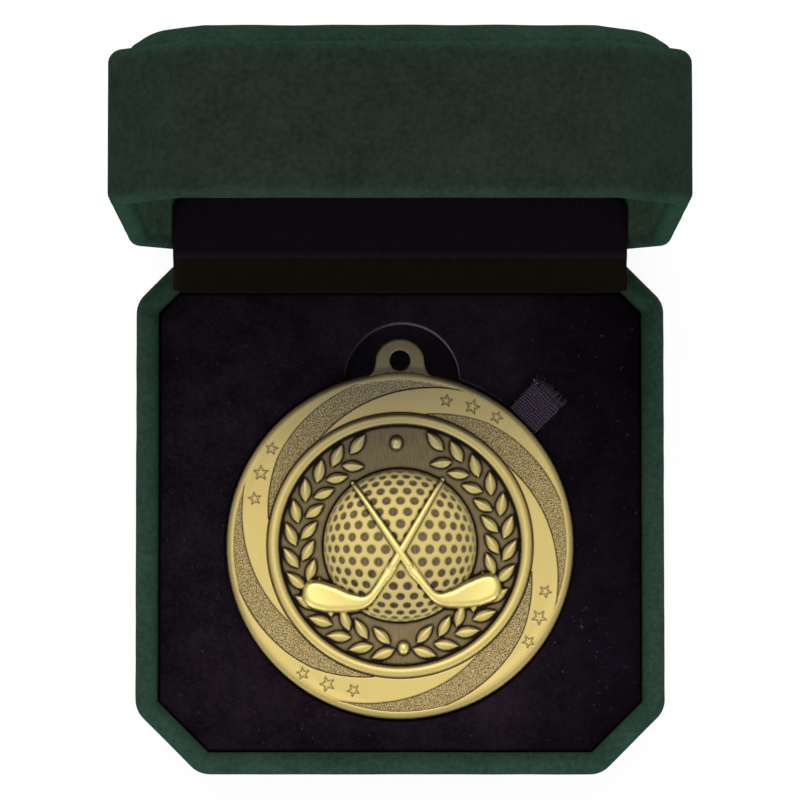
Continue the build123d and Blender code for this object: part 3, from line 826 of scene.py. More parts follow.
def strip_material():
    """Black coated cloth, browner in its lower part, with a lighter cut edge there."""
    n = Nodes("hinge_cloth_black")
    weave = n.noise(2600.0, 3.0, 0.6, (1, 3, 1))
    upper = n.ramp(weave, [(0.34, (0.0054, 0.0035, 0.0060)), (0.66, (0.0126, 0.0090, 0.0140))])
    lower = n.ramp(weave, [(0.34, (0.0026, 0.0018, 0.0007)), (0.66, (0.0064, 0.0048, 0.0021))])
    cloth = n.mix(n.attribute("lower"), upper, lower)
    n.set("Base Color", n.mix(n.attribute("cut_edge"), cloth, (0.012, 0.0048, 0.0042)))
    n.set("Roughness", 1.0)
    n.set("Specular IOR Level", 0.04)
    n.bump(weave, 0.3, 0.0001)
    return n.mat


assign(strip, strip_material())
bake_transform(strip)
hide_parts("hinge_liner")


# Bowed spring strip of the hinge


def spring_strip():
    """The spring's bowed strip, as wide as the CAD's."""
    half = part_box("hinge_spring")[1][0] / MM
    path = smooth_path([(41.85, 15.5), (40.15, 27.8), (54.46, 26.75)], 4.0, 0.35)
    cols = 25
    pts = []
    for side in (0.15, -0.15):
        for (y, z), (ny, nz) in zip(path, path_normals(path)):
            for x in np.linspace(-half, half, cols):
                pts.append((x, y + ny * side, z + nz * side))
    return np.array(pts), slab_faces(len(path), cols)


points, faces = spring_strip()
spring = make_object("hinge_spring_strip", points, faces)
assign(spring, SPRING)
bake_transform(spring)
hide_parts("hinge_spring")


# Medal: the relief is one height map, worked out for each point of its face

BALL_R = 13.3
CLUB_ROTATION = math.radians(2.2)
BAND_Z, FIELD_Z, FIELD_R = 3.15, 2.45, 21.0
RING_R, RING_HALF = 21.95, 0.95
RIM_R, RIM_FALL, RIM_START = 30.05, 0.72, 28.85
LOOP_Y, LOOP_HOLE_R = 32.13, 1.78

SPIRAL_ANGLES = np.array([104.0, 115.5, 133.9, 144.4, 158.2, 168.75])
SPIRAL_RADII = np.array([28.95, 28.2, 26.9, 26.05, 24.4, 23.2])

CLUB_HEAD = [
    (1.95, -3.00),
    (3.46, -5.25),
    (4.60, -6.90),
    (5.60, -8.10),
    (6.30, -8.46),
    (7.10, -8.45),
    (8.96, -7.80),
    (11.09, -6.62),
    (13.00, -5.80),
    (14.30, -5.42),
    (15.50, -5.36),
    (16.50, -5.75),
    (17.15, -6.75),
    (17.36, -7.95),
    (17.10, -9.10),
    (16.45, -9.95),
    (15.40, -10.55),
    (13.44, -11.10),
    (10.80, -11.36),
    (8.04, -11.26),
    (6.60, -10.85),
    (5.50, -10.15),
    (4.55, -9.05),
    (2.50, -6.20),
    (1.61, -5.32),
    (0.25, -3.00),
]


def polygon_distance(x, y, corners):
    """Signed distance to a polygon, above zero inside."""
    best = np.full(x.shape, 1e9)
    inside = np.zeros(x.shape, bool)
    for (ax, ay), (bx, by) in zip(corners, corners[1:] + corners[:1]):
        ex, ey = bx - ax, by - ay
        t = np.clip(((x - ax) * ex + (y - ay) * ey) / (ex * ex + ey * ey), 0, 1)
        best = np.minimum(best, np.hypot(x - ax - t * ex, y - ay - t * ey))
        crosses = (ay > y) != (by > y)
        level = ax + (y - ay) / (by - ay if by != ay else 1e-9) * ex
        inside ^= crosses & (x < level)
    return np.where(inside, best, -best)


def segment_distance(x, y, a, b):
    """Distance to a straight run from a to b, and how far along it, from 0 to 1."""
    ex, ey = b[0] - a[0], b[1] - a[1]
    t = np.clip(((x - a[0]) * ex + (y - a[1]) * ey) / (ex * ex + ey * ey), 0, 1)
    return np.hypot(x - a[0] - t * ex, y - a[1] - t * ey), t


def star(radius, turn):
    corners = []
    for k in range(10):
        r = radius if k % 2 == 0 else radius * 0.42
        a = turn + math.pi / 2 + k * math.pi / 5
        corners.append((r * math.cos(a), r * math.sin(a)))
    return corners


def round_over(distance, reach):
    """Rounded shoulder that is full at reach inside an edge."""
    t = np.clip(distance / reach, 0, 1)
    return np.sqrt(np.maximum(1 - (1 - t) ** 2, 0))


def leaf_places():
    """Middle, direction and size of each laurel leaf, both ways up from the bottom bead."""
    places = []
    outer = [11.0, 23.0, 36.0, 48.5] + [61.0 + 12.3 * k for k in range(9)]
    inner = [13.6, 27.0, 38.5] + [51.5 + 12.5 * k for k in range(9)]
    for side in (-1, 1):
        for k, away in enumerate(outer):
            a = math.radians(-88 + side * away)
            heading = a + side * math.radians(90 - 31)
            places.append((19.05, a, heading, 4.5 if k < 8 else 4.3, 1.95))
        for k, away in enumerate(inner):
            a = math.radians(-88 + side * away)
            heading = a + side * math.radians(90 + 33)
            places.append((15.95, a, heading, 4.2 if k < 8 else 3.9, 1.8))
    return places


class Face:
    """Height, dark patina with painted shade on the rim's outer edge, polish, sandblasting and raised shapes
    of the medal's face at each point.
    """

    def __init__(self, x, y):
        r = np.hypot(x, y)
        self.x, self.y, self.r = x, y, r
        self.z = BAND_Z + 0.08 * smoothstep(27.2, 29.0, r) - 0.02 * np.exp(-(((r - 28.95) / 0.25) ** 2))
        # painted shade: the rim's rounded outer edge is darkened
        self.dark = 0.26 * smoothstep(28.9, 29.6, r)
        self.polish, self.blast, self.raised = np.zeros(x.shape), np.zeros(x.shape), np.zeros(x.shape)

    def put(self, where, **layers):
        """Gives layers new values at some of the points."""
        for name, value in layers.items():
            setattr(self, name, np.where(where, value, getattr(self, name)))

    def cut(self, depth, tone):
        """Lowers the face and darkens it where the tone is deeper than what is there."""
        self.z = self.z - depth
        self.dark = np.maximum(self.dark, tone)


def crescents(f):
    """Sandblasted crescents and their engraved outlines."""
    r, angle = f.r, np.degrees(np.arctan2(f.y, f.x))
    for quarter in range(4):
        turned = (angle + 90 * quarter - 55) % 360 + 55
        near = (turned > 62) & (turned < 176)
        inner = np.maximum(23.1 + 0.1 * (127 - turned), 22.9)
        outer = np.interp(turned, SPIRAL_ANGLES, SPIRAL_RADII)
        outer = np.where(turned < SPIRAL_ANGLES[0], 29.3, outer)
        outer = np.where(turned > SPIRAL_ANGLES[-1], 0.0, outer)
        depth = np.minimum(r - inner, outer - r)
        fade = 1 - smoothstep(28.5, 28.95, r)
        share = np.where(near, smoothstep(-0.04, 0.10, depth), 0) * fade
        f.blast = np.maximum(f.blast, share)
        line = np.where(near, np.exp(-((depth / 0.085) ** 2)), 0)
        line *= (1 - smoothstep(28.85, 29.1, r)) * smoothstep(23.0, 23.3, r)
        f.cut(0.10 * share + 0.10 * line, 0.95 * line)


def stars(f):
    """Three engraved stars in each plain crescent."""
    x, y = f.x, f.y
    for quarter in range(4):
        for a, d, size in ((162.25, 26.4, 1.08), (152.5, 27.15, 1.30), (143.0, 27.85, 1.08)):
            way = math.radians(a - 90 * quarter)
            cx, cy = d * math.cos(way), d * math.sin(way)
            close = np.hypot(x - cx, y - cy) < 2.0
            if close.any():
                gap = np.full(x.shape, 9.0)
                corners = star(size, way - math.pi / 2 + 0.15)
                gap[close] = np.abs(polygon_distance(x[close] - cx, y[close] - cy, corners))
                line = np.exp(-((gap / 0.10) ** 2))
                f.cut(0.10 * line, 0.62 * line)


def ring_and_field(f):
    """Half-round ring with a groove outside it, and the sunk field inside."""
    across = (f.r - RING_R) / RING_HALF
    crown = BAND_Z + 0.62 * np.sqrt(np.maximum(1 - across**2, 0))
    f.put(np.abs(across) < 1, z=crown, polish=0.16, blast=0.0, raised=1.0)
    groove = np.exp(-(((f.r - 23.02) / 0.11) ** 2))
    f.cut(0.14 * groove, 0.9 * groove)
    floor = FIELD_Z + (BAND_Z - FIELD_Z) * smoothstep(20.78, FIELD_R, f.r)
    f.put(f.r < FIELD_R, z=floor, dark=0.76, polish=0.0, blast=0.0)


def ball(f):
    """Ball with its dimples, which crowd together towards its outline; returns what the shafts lie on."""
    x, y, r = f.x, f.y, f.r
    inside = r < BALL_R
    share = np.clip(r / BALL_R, 0, 0.9999)
    dome = 2.62 + 1.58 * np.sqrt(1 - share**2)
    base = np.where(inside, dome, f.z)
    arc_length = BALL_R * np.arcsin(share)
    u = np.where(r > 1e-6, x / np.maximum(r, 1e-6), 0) * arc_length - 0.1
    v = np.where(r > 1e-6, y / np.maximum(r, 1e-6), 0) * arc_length + 0.8
    spacing = 2.6
    row = spacing * math.sqrt(0.75)
    nearest = np.full(x.shape, 9.0)
    for shift in (0, 1):
        k = np.round((v / row - shift) / 2) * 2 + shift
        cv = k * row
        offset = spacing / 2 * (k % 2)
        cu = np.round((u - offset) / spacing) * spacing + offset
        nearest = np.minimum(nearest, np.hypot(u - cu, v - cv))
    flat = 1 - smoothstep(0.90, 0.985, share)
    dimple = (1 - smoothstep(0.35, 1.0, nearest)) * flat
    hollow = 1 - smoothstep(0.76, 0.98, nearest)
    edge_line = np.exp(-(((share - 0.965) / 0.008) ** 2))
    deep = 0.76 + 0.20 * smoothstep(-1.0, -9.0, y)
    tone = np.maximum(deep * hollow * (1 - 0.25 * (1 - flat)), 0.55 * edge_line)
    f.put(inside, z=dome - 0.10 * dimple, dark=tone, polish=0.12, raised=0.5)
    return base


def laurel(f):
    """Laurel leaves and the two beads."""
    x, y, r = f.x, f.y, f.r
    for distance, a, heading, length, width in leaf_places():
        cx, cy = distance * math.cos(a), distance * math.sin(a)
        c, s = math.cos(heading), math.sin(heading)
        along = (x - cx) * c + (y - cy) * s
        aside = -(x - cx) * s + (y - cy) * c
        t = along / (length / 2)
        half = width / 2 * np.clip(1 - t**2, 0, 1) * (1 - 0.18 * t)
        inside_leaf = (np.abs(t) < 1) & (np.abs(aside) < half) & (r > BALL_R - 0.1) & (r < 20.9)
        edge = 1 - np.abs(aside) / np.maximum(half, 1e-6)
        vein = 0.10 * np.exp(-((aside / 0.10) ** 2)) * (t < 0.7)
        top = FIELD_Z + 0.12 + 0.52 * np.clip(edge, 0, 1) ** 0.65 * (1 - 0.35 * t**2) - vein
        tone = 0.10 + 0.35 * (1 - smoothstep(0.0, 0.35, edge))
        f.put(inside_leaf, z=np.maximum(f.z, top), dark=tone, polish=0.35, raised=1.0)
    for a in (-88.0, 92.0):
        cx, cy = 17.8 * math.cos(math.radians(a)), 17.8 * math.sin(math.radians(a))
        gap = np.hypot(x - cx, (y - cy) * 0.85)
        top = FIELD_Z + 0.75 * np.sqrt(np.clip(1 - gap**2, 0, 1))
        f.put(gap < 1.0, z=np.maximum(f.z, top), dark=0.05, polish=1.0, raised=1.0)


def clubs(f, base):
    """Two crossed clubs, whose shafts lie on the ball."""
    x, y, r = f.x, f.y, f.r
    c, s = math.cos(CLUB_ROTATION), math.sin(CLUB_ROTATION)
    px, py = x * c + y * s, -x * s + y * c
    under_head = FIELD_Z + 0.25 + 1.25 * smoothstep(15.0, 8.5, r)
    for side in (-1, 1):
        qx = px * side
        gap, t = segment_distance(qx, py, (-7.75, 11.1), (1.45, -3.55))
        wide = 0.38 + 0.32 * t
        lift = 0.08 if side > 0 else 0.0
        top = base + 0.14 + lift + (0.16 + 0.12 * t) * (1 - np.clip(gap / wide, 0, 1) ** 3)
        f.put(gap < wide, z=np.maximum(f.z, top), dark=0.0, polish=1.0, raised=1.0)
        depth = polygon_distance(qx, py, CLUB_HEAD)
        reach = 0.62 + 0.63 * smoothstep(4.5, 9.5, qx)
        peak = FIELD_Z + 1.25 + 0.55 * smoothstep(17.0, 7.5, r)
        top = under_head + np.maximum(peak - under_head, 0.12) * round_over(depth, reach)
        toe = np.exp(-(((depth - 0.42) / 0.10) ** 2)) * smoothstep(14.6, 15.6, qx)
        f.put(depth > 0, z=np.maximum(f.z, top - 0.05 * toe), dark=0.35 * toe, polish=1.0, raised=1.0)


def relief(x, y):
    """The medal's face with all its work, at each point."""
    f = Face(x, y)
    crescents(f)
    stars(f)
    ring_and_field(f)
    base = ball(f)
    laurel(f)
    clubs(f, base)
    return f.z, f.dark, f.polish, f.blast, f.raised


def blurred(image, sigma, step):
    """Gaussian blur by Fourier transform."""
    fy = np.fft.fftfreq(image.shape[0], step)[:, None]
    fx = np.fft.rfftfreq(image.shape[1], step)[None, :]
    falloff = np.exp(-2 * (math.pi * sigma) ** 2 * (fx**2 + fy**2))
    return np.fft.irfft2(np.fft.rfft2(image) * falloff, image.shape)


RASTER = 0.08
axis = np.arange(-31.2, 31.2 + RASTER / 2, RASTER)
raster_x, raster_y = np.meshgrid(axis, axis)
raster_r = np.hypot(raster_x, raster_y)
raster_z, raster_dark, raster_polish, _, raster_raised = relief(raster_x, raster_y)
cavity_map = np.clip((blurred(raster_z, 0.26, RASTER) - raster_z) / 0.20, 0, 1)
around_shapes = np.clip((blurred((raster_raised > 0.9).astype(float), 0.32, RASTER) - 0.03) * 2.6, 0, 1)
around_ball = np.clip((blurred((raster_raised > 0.1).astype(float), 0.50, RASTER) - 0.03) * 2.4, 0, 1)
halo_map = np.where(raster_r < BALL_R - 0.1, 0.80 * around_shapes, around_ball)
halo_map = np.where((raster_raised > 0.9) | (raster_r > 21.0), 0.0, halo_map)
smooth_z = blurred(raster_z, 0.075, RASTER)
smooth_dark = blurred(raster_dark, 0.05, RASTER)
smooth_polish = blurred(raster_polish, 0.05, RASTER)
smooth_halo = blurred(halo_map, 0.06, RASTER)


def sample(image, x, y):
    """Value of a raster between its points."""
    fx = np.clip((x - axis[0]) / RASTER, 0, len(axis) - 1.001)
    fy = np.clip((y - axis[0]) / RASTER, 0, len(axis) - 1.001)
    ix, iy = fx.astype(int), fy.astype(int)
    tx, ty = fx - ix, fy - iy
    top = image[iy, ix] * (1 - tx) + image[iy, ix + 1] * tx
    low = image[iy + 1, ix] * (1 - tx) + image[iy + 1, ix + 1] * tx
    return top * (1 - ty) + low * ty


def medal_mesh():
    """Outer band, rim, edge and back as rings, and a fine square grid for everything inside the ring."""
    cols = 1600
    theta = np.arange(cols) * 2 * math.pi / cols
    c, s = np.cos(theta), np.sin(theta)
    step = 0.11
    radii = np.arange(20.78, RIM_START, step)
    rings, facts = [], []

    def add_face(radius, drop=0.0):
        x, y = radius * c, radius * s
        z, dark, polish, blast, _ = relief(x, y)
        rings.append(np.column_stack((x, y, z - drop)))
        facts.append(np.column_stack((dark, polish, blast)))

    def add_plain(radius, z, dark):
        rings.append(np.column_stack((radius * c, radius * s, np.full(cols, z))))
        facts.append(np.column_stack((np.full(cols, dark), np.full(cols, 0.0), np.full(cols, 0.0))))

    for radius in radii:
        add_face(radius)
    # the rim falls off softly, less where the loop joins it
    fall = RIM_FALL - 0.38 * np.exp(-(((theta - math.pi / 2) / 0.155) ** 6))
    for k in range(0, 13):
        turn = math.radians(90 - 7.5 * k)
        add_face(RIM_START + (RIM_R - RIM_START) * math.cos(turn), fall * (1 - math.sin(turn)))
    for z in (2.2, 1.6, 1.0, 0.7):
        add_plain(RIM_R, z, 0.35)
    add_plain(29.85, 0.25, 0.1)
    for radius in (29.5, 28.0, 22.0, 15.0, 8.0, 2.0):
        add_plain(radius, 0.0, 0.1)
    pts = np.vstack(rings)
    info = np.vstack(facts)
    faces = loft_faces(len(rings), cols)
    last = (len(rings) - 1) * cols
    middle = len(pts)
    pts = np.vstack((pts, [[0, 0, 0]]))
    info = np.vstack((info, [[0.1, 0, 0]]))
    faces += [(last + j, last + (j + 1) % cols, middle) for j in range(cols)]

    # the grid reaches a little under the innermost ring
    reach = 20.9
    line = np.arange(-reach, reach + step / 2, step)
    gx, gy = np.meshgrid(line, line)
    keep = np.hypot(gx, gy) < 20.86
    number = np.full(gx.shape, -1)
    number[keep] = np.arange(keep.sum()) + len(pts)
    x, y = gx[keep], gy[keep]
    z, dark, polish = sample(smooth_z, x, y), sample(smooth_dark, x, y), sample(smooth_polish, x, y)
    z = np.where(np.hypot(x, y) > 20.7, z - 0.02, z)
    pts = np.vstack((pts, np.column_stack((x, y, z))))
    info = np.vstack((info, np.column_stack((dark, polish, np.zeros(len(x))))))
    a, b = number[:-1, :-1], number[:-1, 1:]
    d, e = number[1:, :-1], number[1:, 1:]
    whole = (a >= 0) & (b >= 0) & (d >= 0) & (e >= 0)
    quads = np.column_stack((a[whole], b[whole], e[whole], d[whole]))
    faces += [tuple(q) for q in quads.tolist()]
    return pts, info, faces


points, info, faces = medal_mesh()
on_face = points[:, 2] > 2.2
within_rim = np.hypot(points[:, 0], points[:, 1]) < 28.5
cavity = sample(cavity_map, points[:, 0], points[:, 1]) * on_face * within_rim
halo = sample(smooth_halo, points[:, 0], points[:, 1]) * on_face


def loop_mesh():
    """Eye of the medal with rounded edges and a foot that spreads into the rim."""
    cols = 240
    theta = np.arange(cols) * 2 * math.pi / cols
    c, s = np.cos(theta), np.sin(theta)
    outline = [(5.5, -4.0), (5.5, -2.80), (4.92, -2.2), (4.56, -1.5), (4.34, -0.8), (4.24, -0.2)]
    for k in range(1, 12):
        turn = math.radians(90 * k / 12)
        outline.append((4.24 * math.cos(turn), 4.06 * math.sin(turn) - 0.2))
    outline += [(0.0, 3.86)] + [(-x, y) for x, y in reversed(outline)]
    outer = np.full(cols, 0.0)
    for (ax, ay), (bx, by) in zip(outline, outline[1:] + outline[:1]):
        ex, ey = bx - ax, by - ay
        under = c * ey - s * ex
        safe = np.where(np.abs(under) < 1e-9, 1e-9, under)
        t = (ax * ey - ay * ex) / safe
        u = (ax * s - ay * c) / safe
        hit = (t > 0) & (u >= -1e-6) & (u <= 1 + 1e-6)
        outer = np.where(hit, np.maximum(outer, t), outer)
    rings = []

    def add(radius, z, flush=0.0):
        x, y = radius * c, LOOP_Y + radius * s
        rise = flush * (1 - smoothstep(29.9, 31.2, np.hypot(x, y)))
        rings.append(np.column_stack((x, y, np.broadcast_to(z + rise, x.shape))))

    # underside and top of the eye, and the radii of its outer and inner edges
    low, high, r, inner_r = 0.5, 2.78, 0.42, 0.22
    hole = np.full(cols, LOOP_HOLE_R)
    for k in range(6):
        turn = math.radians(18 * k)
        add(hole + inner_r * (1 - math.cos(turn)), high - inner_r + inner_r * math.sin(turn), 0.2)
    for share in (0.15, 0.33, 0.5, 0.66, 0.85):
        add(hole + inner_r + (outer - hole - inner_r - r) * share, high, 0.2)
    for k in range(6):
        turn = math.radians(90 - 18 * k)
        add(outer - r + r * math.cos(turn), high - r + r * math.sin(turn), 0.2)
    add(outer, (low + high) / 2)
    add(outer, low + 0.2)
    add(outer - 0.2, low)
    add(hole + 0.2, low)
    add(hole, low + 0.2)
    add(hole, (low + high) / 2)
    return np.vstack(rings), loft_faces(len(rings), cols, True)


eye_points, eye_faces = loop_mesh()
first = len(points)
near_rim = np.exp(-(((np.hypot(eye_points[:, 0], eye_points[:, 1]) - RIM_R) / 0.14) ** 2))
none = np.zeros(len(eye_points))
points = np.vstack((points, eye_points))
faces += [tuple(first + k for k in face) for face in eye_faces]
# the loop is darkened all over by painted shade, and by patina where it joins the rim
info = np.vstack((info, np.column_stack((0.40 + 0.50 * near_rim, none, none))))
cavity = np.concatenate((cavity, none))
halo = np.concatenate((halo, none))

points = points + np.array((0, MEDAL_Y, MEDAL_Z))
medal = make_object("medal_relief", points, faces, weld=False)
# patina in the hollows, with the painted shade of the rim's edge and of the loop
patina_and_shade = np.maximum(info[:, 0], halo) + cavity * (0.30 + 0.5 * (info[:, 0] > 0.5))
put_attribute(medal, "patina_and_shade", np.clip(patina_and_shade, 0, 1))
put_attribute(medal, "polish", info[:, 1])
put_attribute(medal, "blast", info[:, 2])
put_attribute(medal, "halo", np.clip(halo + 0.4 * cavity, 0, 1))
# painted shade of the open lid, growing towards the loop, weaker on the satin parts
painted_lid_shade = smoothstep(1.0, 36.0, points[:, 1] - MEDAL_Y - 0.25 * np.abs(points[:, 0] + 4.0))
put_attribute(medal, "painted_lid_shade", painted_lid_shade * np.clip(0.64 + 0.9 * info[:, 1], 0, 1))


def medal_material():
    """Antique gold: satin band, sandblasted crescents, polished raised work, brown patina in the hollows, and
    painted shade from the open lid towards the loop.
    """
    n = Nodes("antique_gold")
    patina_and_shade = n.attribute("patina_and_shade")
    polish = n.attribute("polish")
    blast = n.attribute("blast")
    halo = n.attribute("halo")
    streak = n.noise(1.0, 4.0, 0.7, (5200, 380, 5200))
    cloud = n.noise(95.0, 3.0, 0.55)
    grit = n.noise(4200.0, 2.0, 0.65)
    satin = n.mix(cloud, (0.345, 0.272, 0.098), (0.420, 0.333, 0.120))
    satin = n.mix(n.math("MULTIPLY", streak, 0.4), satin, (0.470, 0.388, 0.165))
    bright = n.mix(cloud, (0.515, 0.425, 0.154), (0.610, 0.504, 0.184))
    metal = n.mix(polish, satin, bright)
    grains = [(0.38, (0.125, 0.084, 0.034)), (0.50, (0.330, 0.255, 0.114)), (0.63, (0.540, 0.440, 0.225))]
    metal = n.mix(n.math("MULTIPLY", blast, 0.95), metal, n.ramp(grit, grains))
    old = n.ramp(streak, [(0.36, (0.024, 0.017, 0.015)), (0.64, (0.104, 0.080, 0.058))])
    old = n.mix(halo, old, (0.011, 0.008, 0.009))
    colour = n.mix(patina_and_shade, metal, old)
    # painted shade: the finish is darker and greener towards the loop, where the open lid shades the medal
    lid_shaded_colour = n.mix(1.0, colour, (0.21, 0.29, 0.70), "MULTIPLY")
    n.set("Base Color", n.mix(n.attribute("painted_lid_shade"), colour, lid_shaded_colour))
    n.set("Metallic", 1.0)
    rough = n.math("ADD", 0.52, n.math("MULTIPLY", patina_and_shade, 0.10))
    rough = n.math("ADD", rough, n.math("MULTIPLY", blast, 0.06))
    rough = n.math("SUBTRACT", rough, n.math("MULTIPLY", polish, 0.10))
    n.set("Roughness", rough)
    first_normal = n.bump(n.math("MULTIPLY", grit, blast), 1.0, 0.00030)
    n.bump(streak, 0.12, 0.00006, first_normal)
    return n.mat


assign(medal, medal_material())
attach(medal, "medal")
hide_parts("medal")


# Pull ribbon


def ribbon():
    """Ribbed ribbon from under the medal, up the recess wall and out over the velvet, with a frayed end."""
    route = [(15.0, 15.98), (30.52, 15.98), (30.52, 18.32), (34.2, 18.30), (36.8, 18.62)]
    path = smooth_path(route, 0.30, 0.11)
    rows, cols = len(path), 60
    normal = path_normals(path)
    length = np.concatenate(([0], np.cumsum(np.linalg.norm(np.diff(path, axis=0), axis=1))))
    rng = np.random.default_rng(21)
    ragged = rng.uniform(0.0, 0.5, cols)
    out = []
    for side in (1, -1):
        for i in range(rows):
            for j in range(cols):
                w = -1 + 2 * j / (cols - 1)
                rib = 0.030 * math.sin(length[i] * 2 * math.pi / 0.42) * side
                thick = 0.13 * side + rib
                end = max(0.0, (path[i][0] - 35.6) / 1.2)
                curl = 0.20 * w * w * end
                r = path[i][0] + normal[i][0] * thick - ragged[j] * min(end, 1.0)
                z = path[i][1] + normal[i][1] * thick + curl
                out.append((r, w * RIBBON_HALF, z))
    return np.array(out), slab_faces(rows, cols)


def thread(points_list, radius, sides=5):
    """Thin tube along a few points."""
    pts = [np.array(p, float) for p in points_list]
    out = []
    for i, p in enumerate(pts):
        a = pts[max(i - 1, 0)]
        b = pts[min(i + 1, len(pts) - 1)]
        t = (b - a) / np.linalg.norm(b - a)
        up = np.array((0, 0, 1.0)) if abs(t[2]) < 0.9 else np.array((1.0, 0, 0))
        u = np.cross(t, up)
        u /= np.linalg.norm(u)
        v = np.cross(t, u)
        size = radius * (1 if i < len(pts) - 1 else 0.35)
        for k in range(sides):
            turn = 2 * math.pi * k / sides
            out.append(p + size * (math.cos(turn) * u + math.sin(turn) * v))
    return out, loft_faces(len(pts), sides)


def frayed_threads():
    """Loose threads at the ribbon's cut end and along its sides near it."""
    rng = np.random.default_rng(8)
    pts, faces, pale = [], [], []
    for k in range(240):
        w = rng.uniform(-1.0, 1.0)
        start = np.array((rng.uniform(35.7, 36.6), w * 3.12, 18.56 + 0.12 * w * w))
        bright = rng.uniform() < 0.03 or (w > 0.90 and rng.uniform() < 0.5)
        length = rng.uniform(0.5, 0.9) if bright else rng.uniform(0.4, 2.2)
        way = np.array((1.0, rng.normal() * 0.16, rng.uniform(-0.02, 0.14)))
        way /= np.linalg.norm(way)
        bend = np.array((0, rng.normal() * 0.35, rng.uniform(-0.08, 0.16)))
        line = [start, start + way * length * 0.4 + bend * 0.3, start + way * length * 0.75 + bend * 0.8]
        line.append(start + way * length + bend * rng.uniform(0.6, 1.6))
        p, f = thread(line, rng.uniform(0.022, 0.042))
        faces += [tuple(len(pts) + q for q in face) for face in f]
        pts += p
        pale += [0.8 if bright else 0.0] * len(p)
    for k in range(26):
        side = rng.choice((-1, 1))
        at = rng.uniform(31.5, 36.5)
        start = np.array((at, side * 3.12, 18.36 + max(0, at - 34.2) * 0.12))
        way = np.array((rng.normal() * 0.6, side * 1.0, rng.uniform(0.0, 0.6)))
        way /= np.linalg.norm(way)
        length = rng.uniform(0.2, 0.5)
        p, f = thread([start, start + way * length * 0.6, start + way * length], 0.035)
        faces += [tuple(len(pts) + q for q in face) for face in f]
        pts += p
        pale += [0.0] * len(p)
    return np.array(pts), faces, np.array(pale)


def ribbon_place(points):
    """Ribbon's own places, counted out from the medal's middle, to the frame."""
    c, s = math.cos(RIBBON_ANGLE), math.sin(RIBBON_ANGLE)
    x = points[:, 0] * c - points[:, 1] * s
    y = points[:, 0] * s + points[:, 1] * c + MEDAL_Y
    return np.column_stack((x, y, points[:, 2]))


def ribbon_material():
    """Purple-black weave: two crossed waves along and across the ribbon, whose crossings carry painted
    highlights.
    """
    n = Nodes("ribbed_ribbon")
    turned = (0, 0, -RIBBON_ANGLE)
    waves = []
    for direction, scale in (("X", 640.0), ("Y", 760.0)):
        wave = n.tree.nodes.new("ShaderNodeTexWave")
        wave.wave_type = "BANDS"
        wave.bands_direction = direction
        wave.inputs["Scale"].default_value = scale
        wave.inputs["Distortion"].default_value = 5.0
        wave.inputs["Detail Scale"].default_value = 0.7
        n.link(n.coords((1, 1, 1), turned), wave.inputs["Vector"])
        waves.append(wave.outputs["Fac"])
    fine = n.noise(2600.0, 3.0, 0.7)
    # painted highlight: the brightest colour sits where the two waves cross, on the weave's raised points
    weave_and_highlight = n.math("MULTIPLY", n.math("MULTIPLY", waves[0], waves[1]), n.math("MULTIPLY", fine, 2.0))
    colours = [(0.08, (0.0080, 0.0044, 0.0105)), (0.45, (0.036, 0.021, 0.047)), (0.95, (0.135, 0.094, 0.160))]
    n.set("Base Color", n.ramp(weave_and_highlight, colours))
    n.set("Roughness", 0.7)
    n.set("Specular IOR Level", 0.15)
    n.bump(weave_and_highlight, 0.6, 0.00012)
    return n.mat


def thread_material():
    """Dark loose threads, a few of them pale."""
    n = Nodes("ribbon_threads")
    fine = n.noise(2400.0, 2.0, 0.6)
    dark = n.ramp(fine, [(0.35, (0.006, 0.0035, 0.0075)), (0.65, (0.026, 0.017, 0.032))])
    n.set("Base Color", n.mix(n.attribute("pale"), dark, (0.46, 0.44, 0.47)))
    n.set("Roughness", 0.6)
    n.bump(fine, 0.2, 0.00003)
    return n.mat


points, faces = ribbon()
tab = make_object("ribbon_strip", ribbon_place(points), faces)
assign(tab, ribbon_material())
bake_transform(tab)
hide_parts("pull_ribbon", "ribbon_tail")

points, faces, pale = frayed_threads()
fray = make_object("ribbon_fray", ribbon_place(points), faces, weld=False)
put_attribute(fray, "pale", pale)
assign(fray, thread_material())
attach(fray, "ribbon")


# Materials of the CAD pieces that stay as they are

CAD_MATERIALS = {
    "base_shell": SHELL,
    "lid_shell": SHELL,
    "insert_foam": FOAM,
    "insert_board": CARD,
    "insert_seat": CARD,
    "lid_top_board": CARD,
    "lid_lining_board": CARD,
    "hinge_leaf_base": STEEL,
    "hinge_leaf_lid": STEEL,
    "hinge_pin": STEEL,
    "hinge_rivets_base": STEEL,
    "hinge_rivets_lid": STEEL,
    "hinge_spring": SPRING,
    "base_cover": VELOUR,
    "lid_cover": VELOUR,
    "lid_top_cover": VELOUR,
    "lid_top_foam": FOAM,
    "lid_lining_pad": FOAM,
    "lid_lining_cover": VELVET,
    "insert_velvet": VELVET,
    "base_sole": FELT,
    "hinge_liner": VELVET,
    "medal": STEEL,
    "pull_ribbon": VELVET,
    "ribbon_tail": VELVET,
}
for name, mat in CAD_MATERIALS.items():
    assign(nodes[name], mat)


# Floor, light and camera


def background_rays(tree):
    """One for the rays that see the plain background: camera, glossy and transmission rays."""
    path = tree.nodes.new("ShaderNodeLightPath")
    seen = path.outputs["Is Camera Ray"]
    for name in ("Is Glossy Ray", "Is Transmission Ray"):
        either = tree.nodes.new("ShaderNodeMath")
        either.operation = "MAXIMUM"
        tree.links.new(seen, either.inputs[0])
        tree.links.new(path.outputs[name], either.inputs[1])
        seen = either.outputs[0]
    return seen


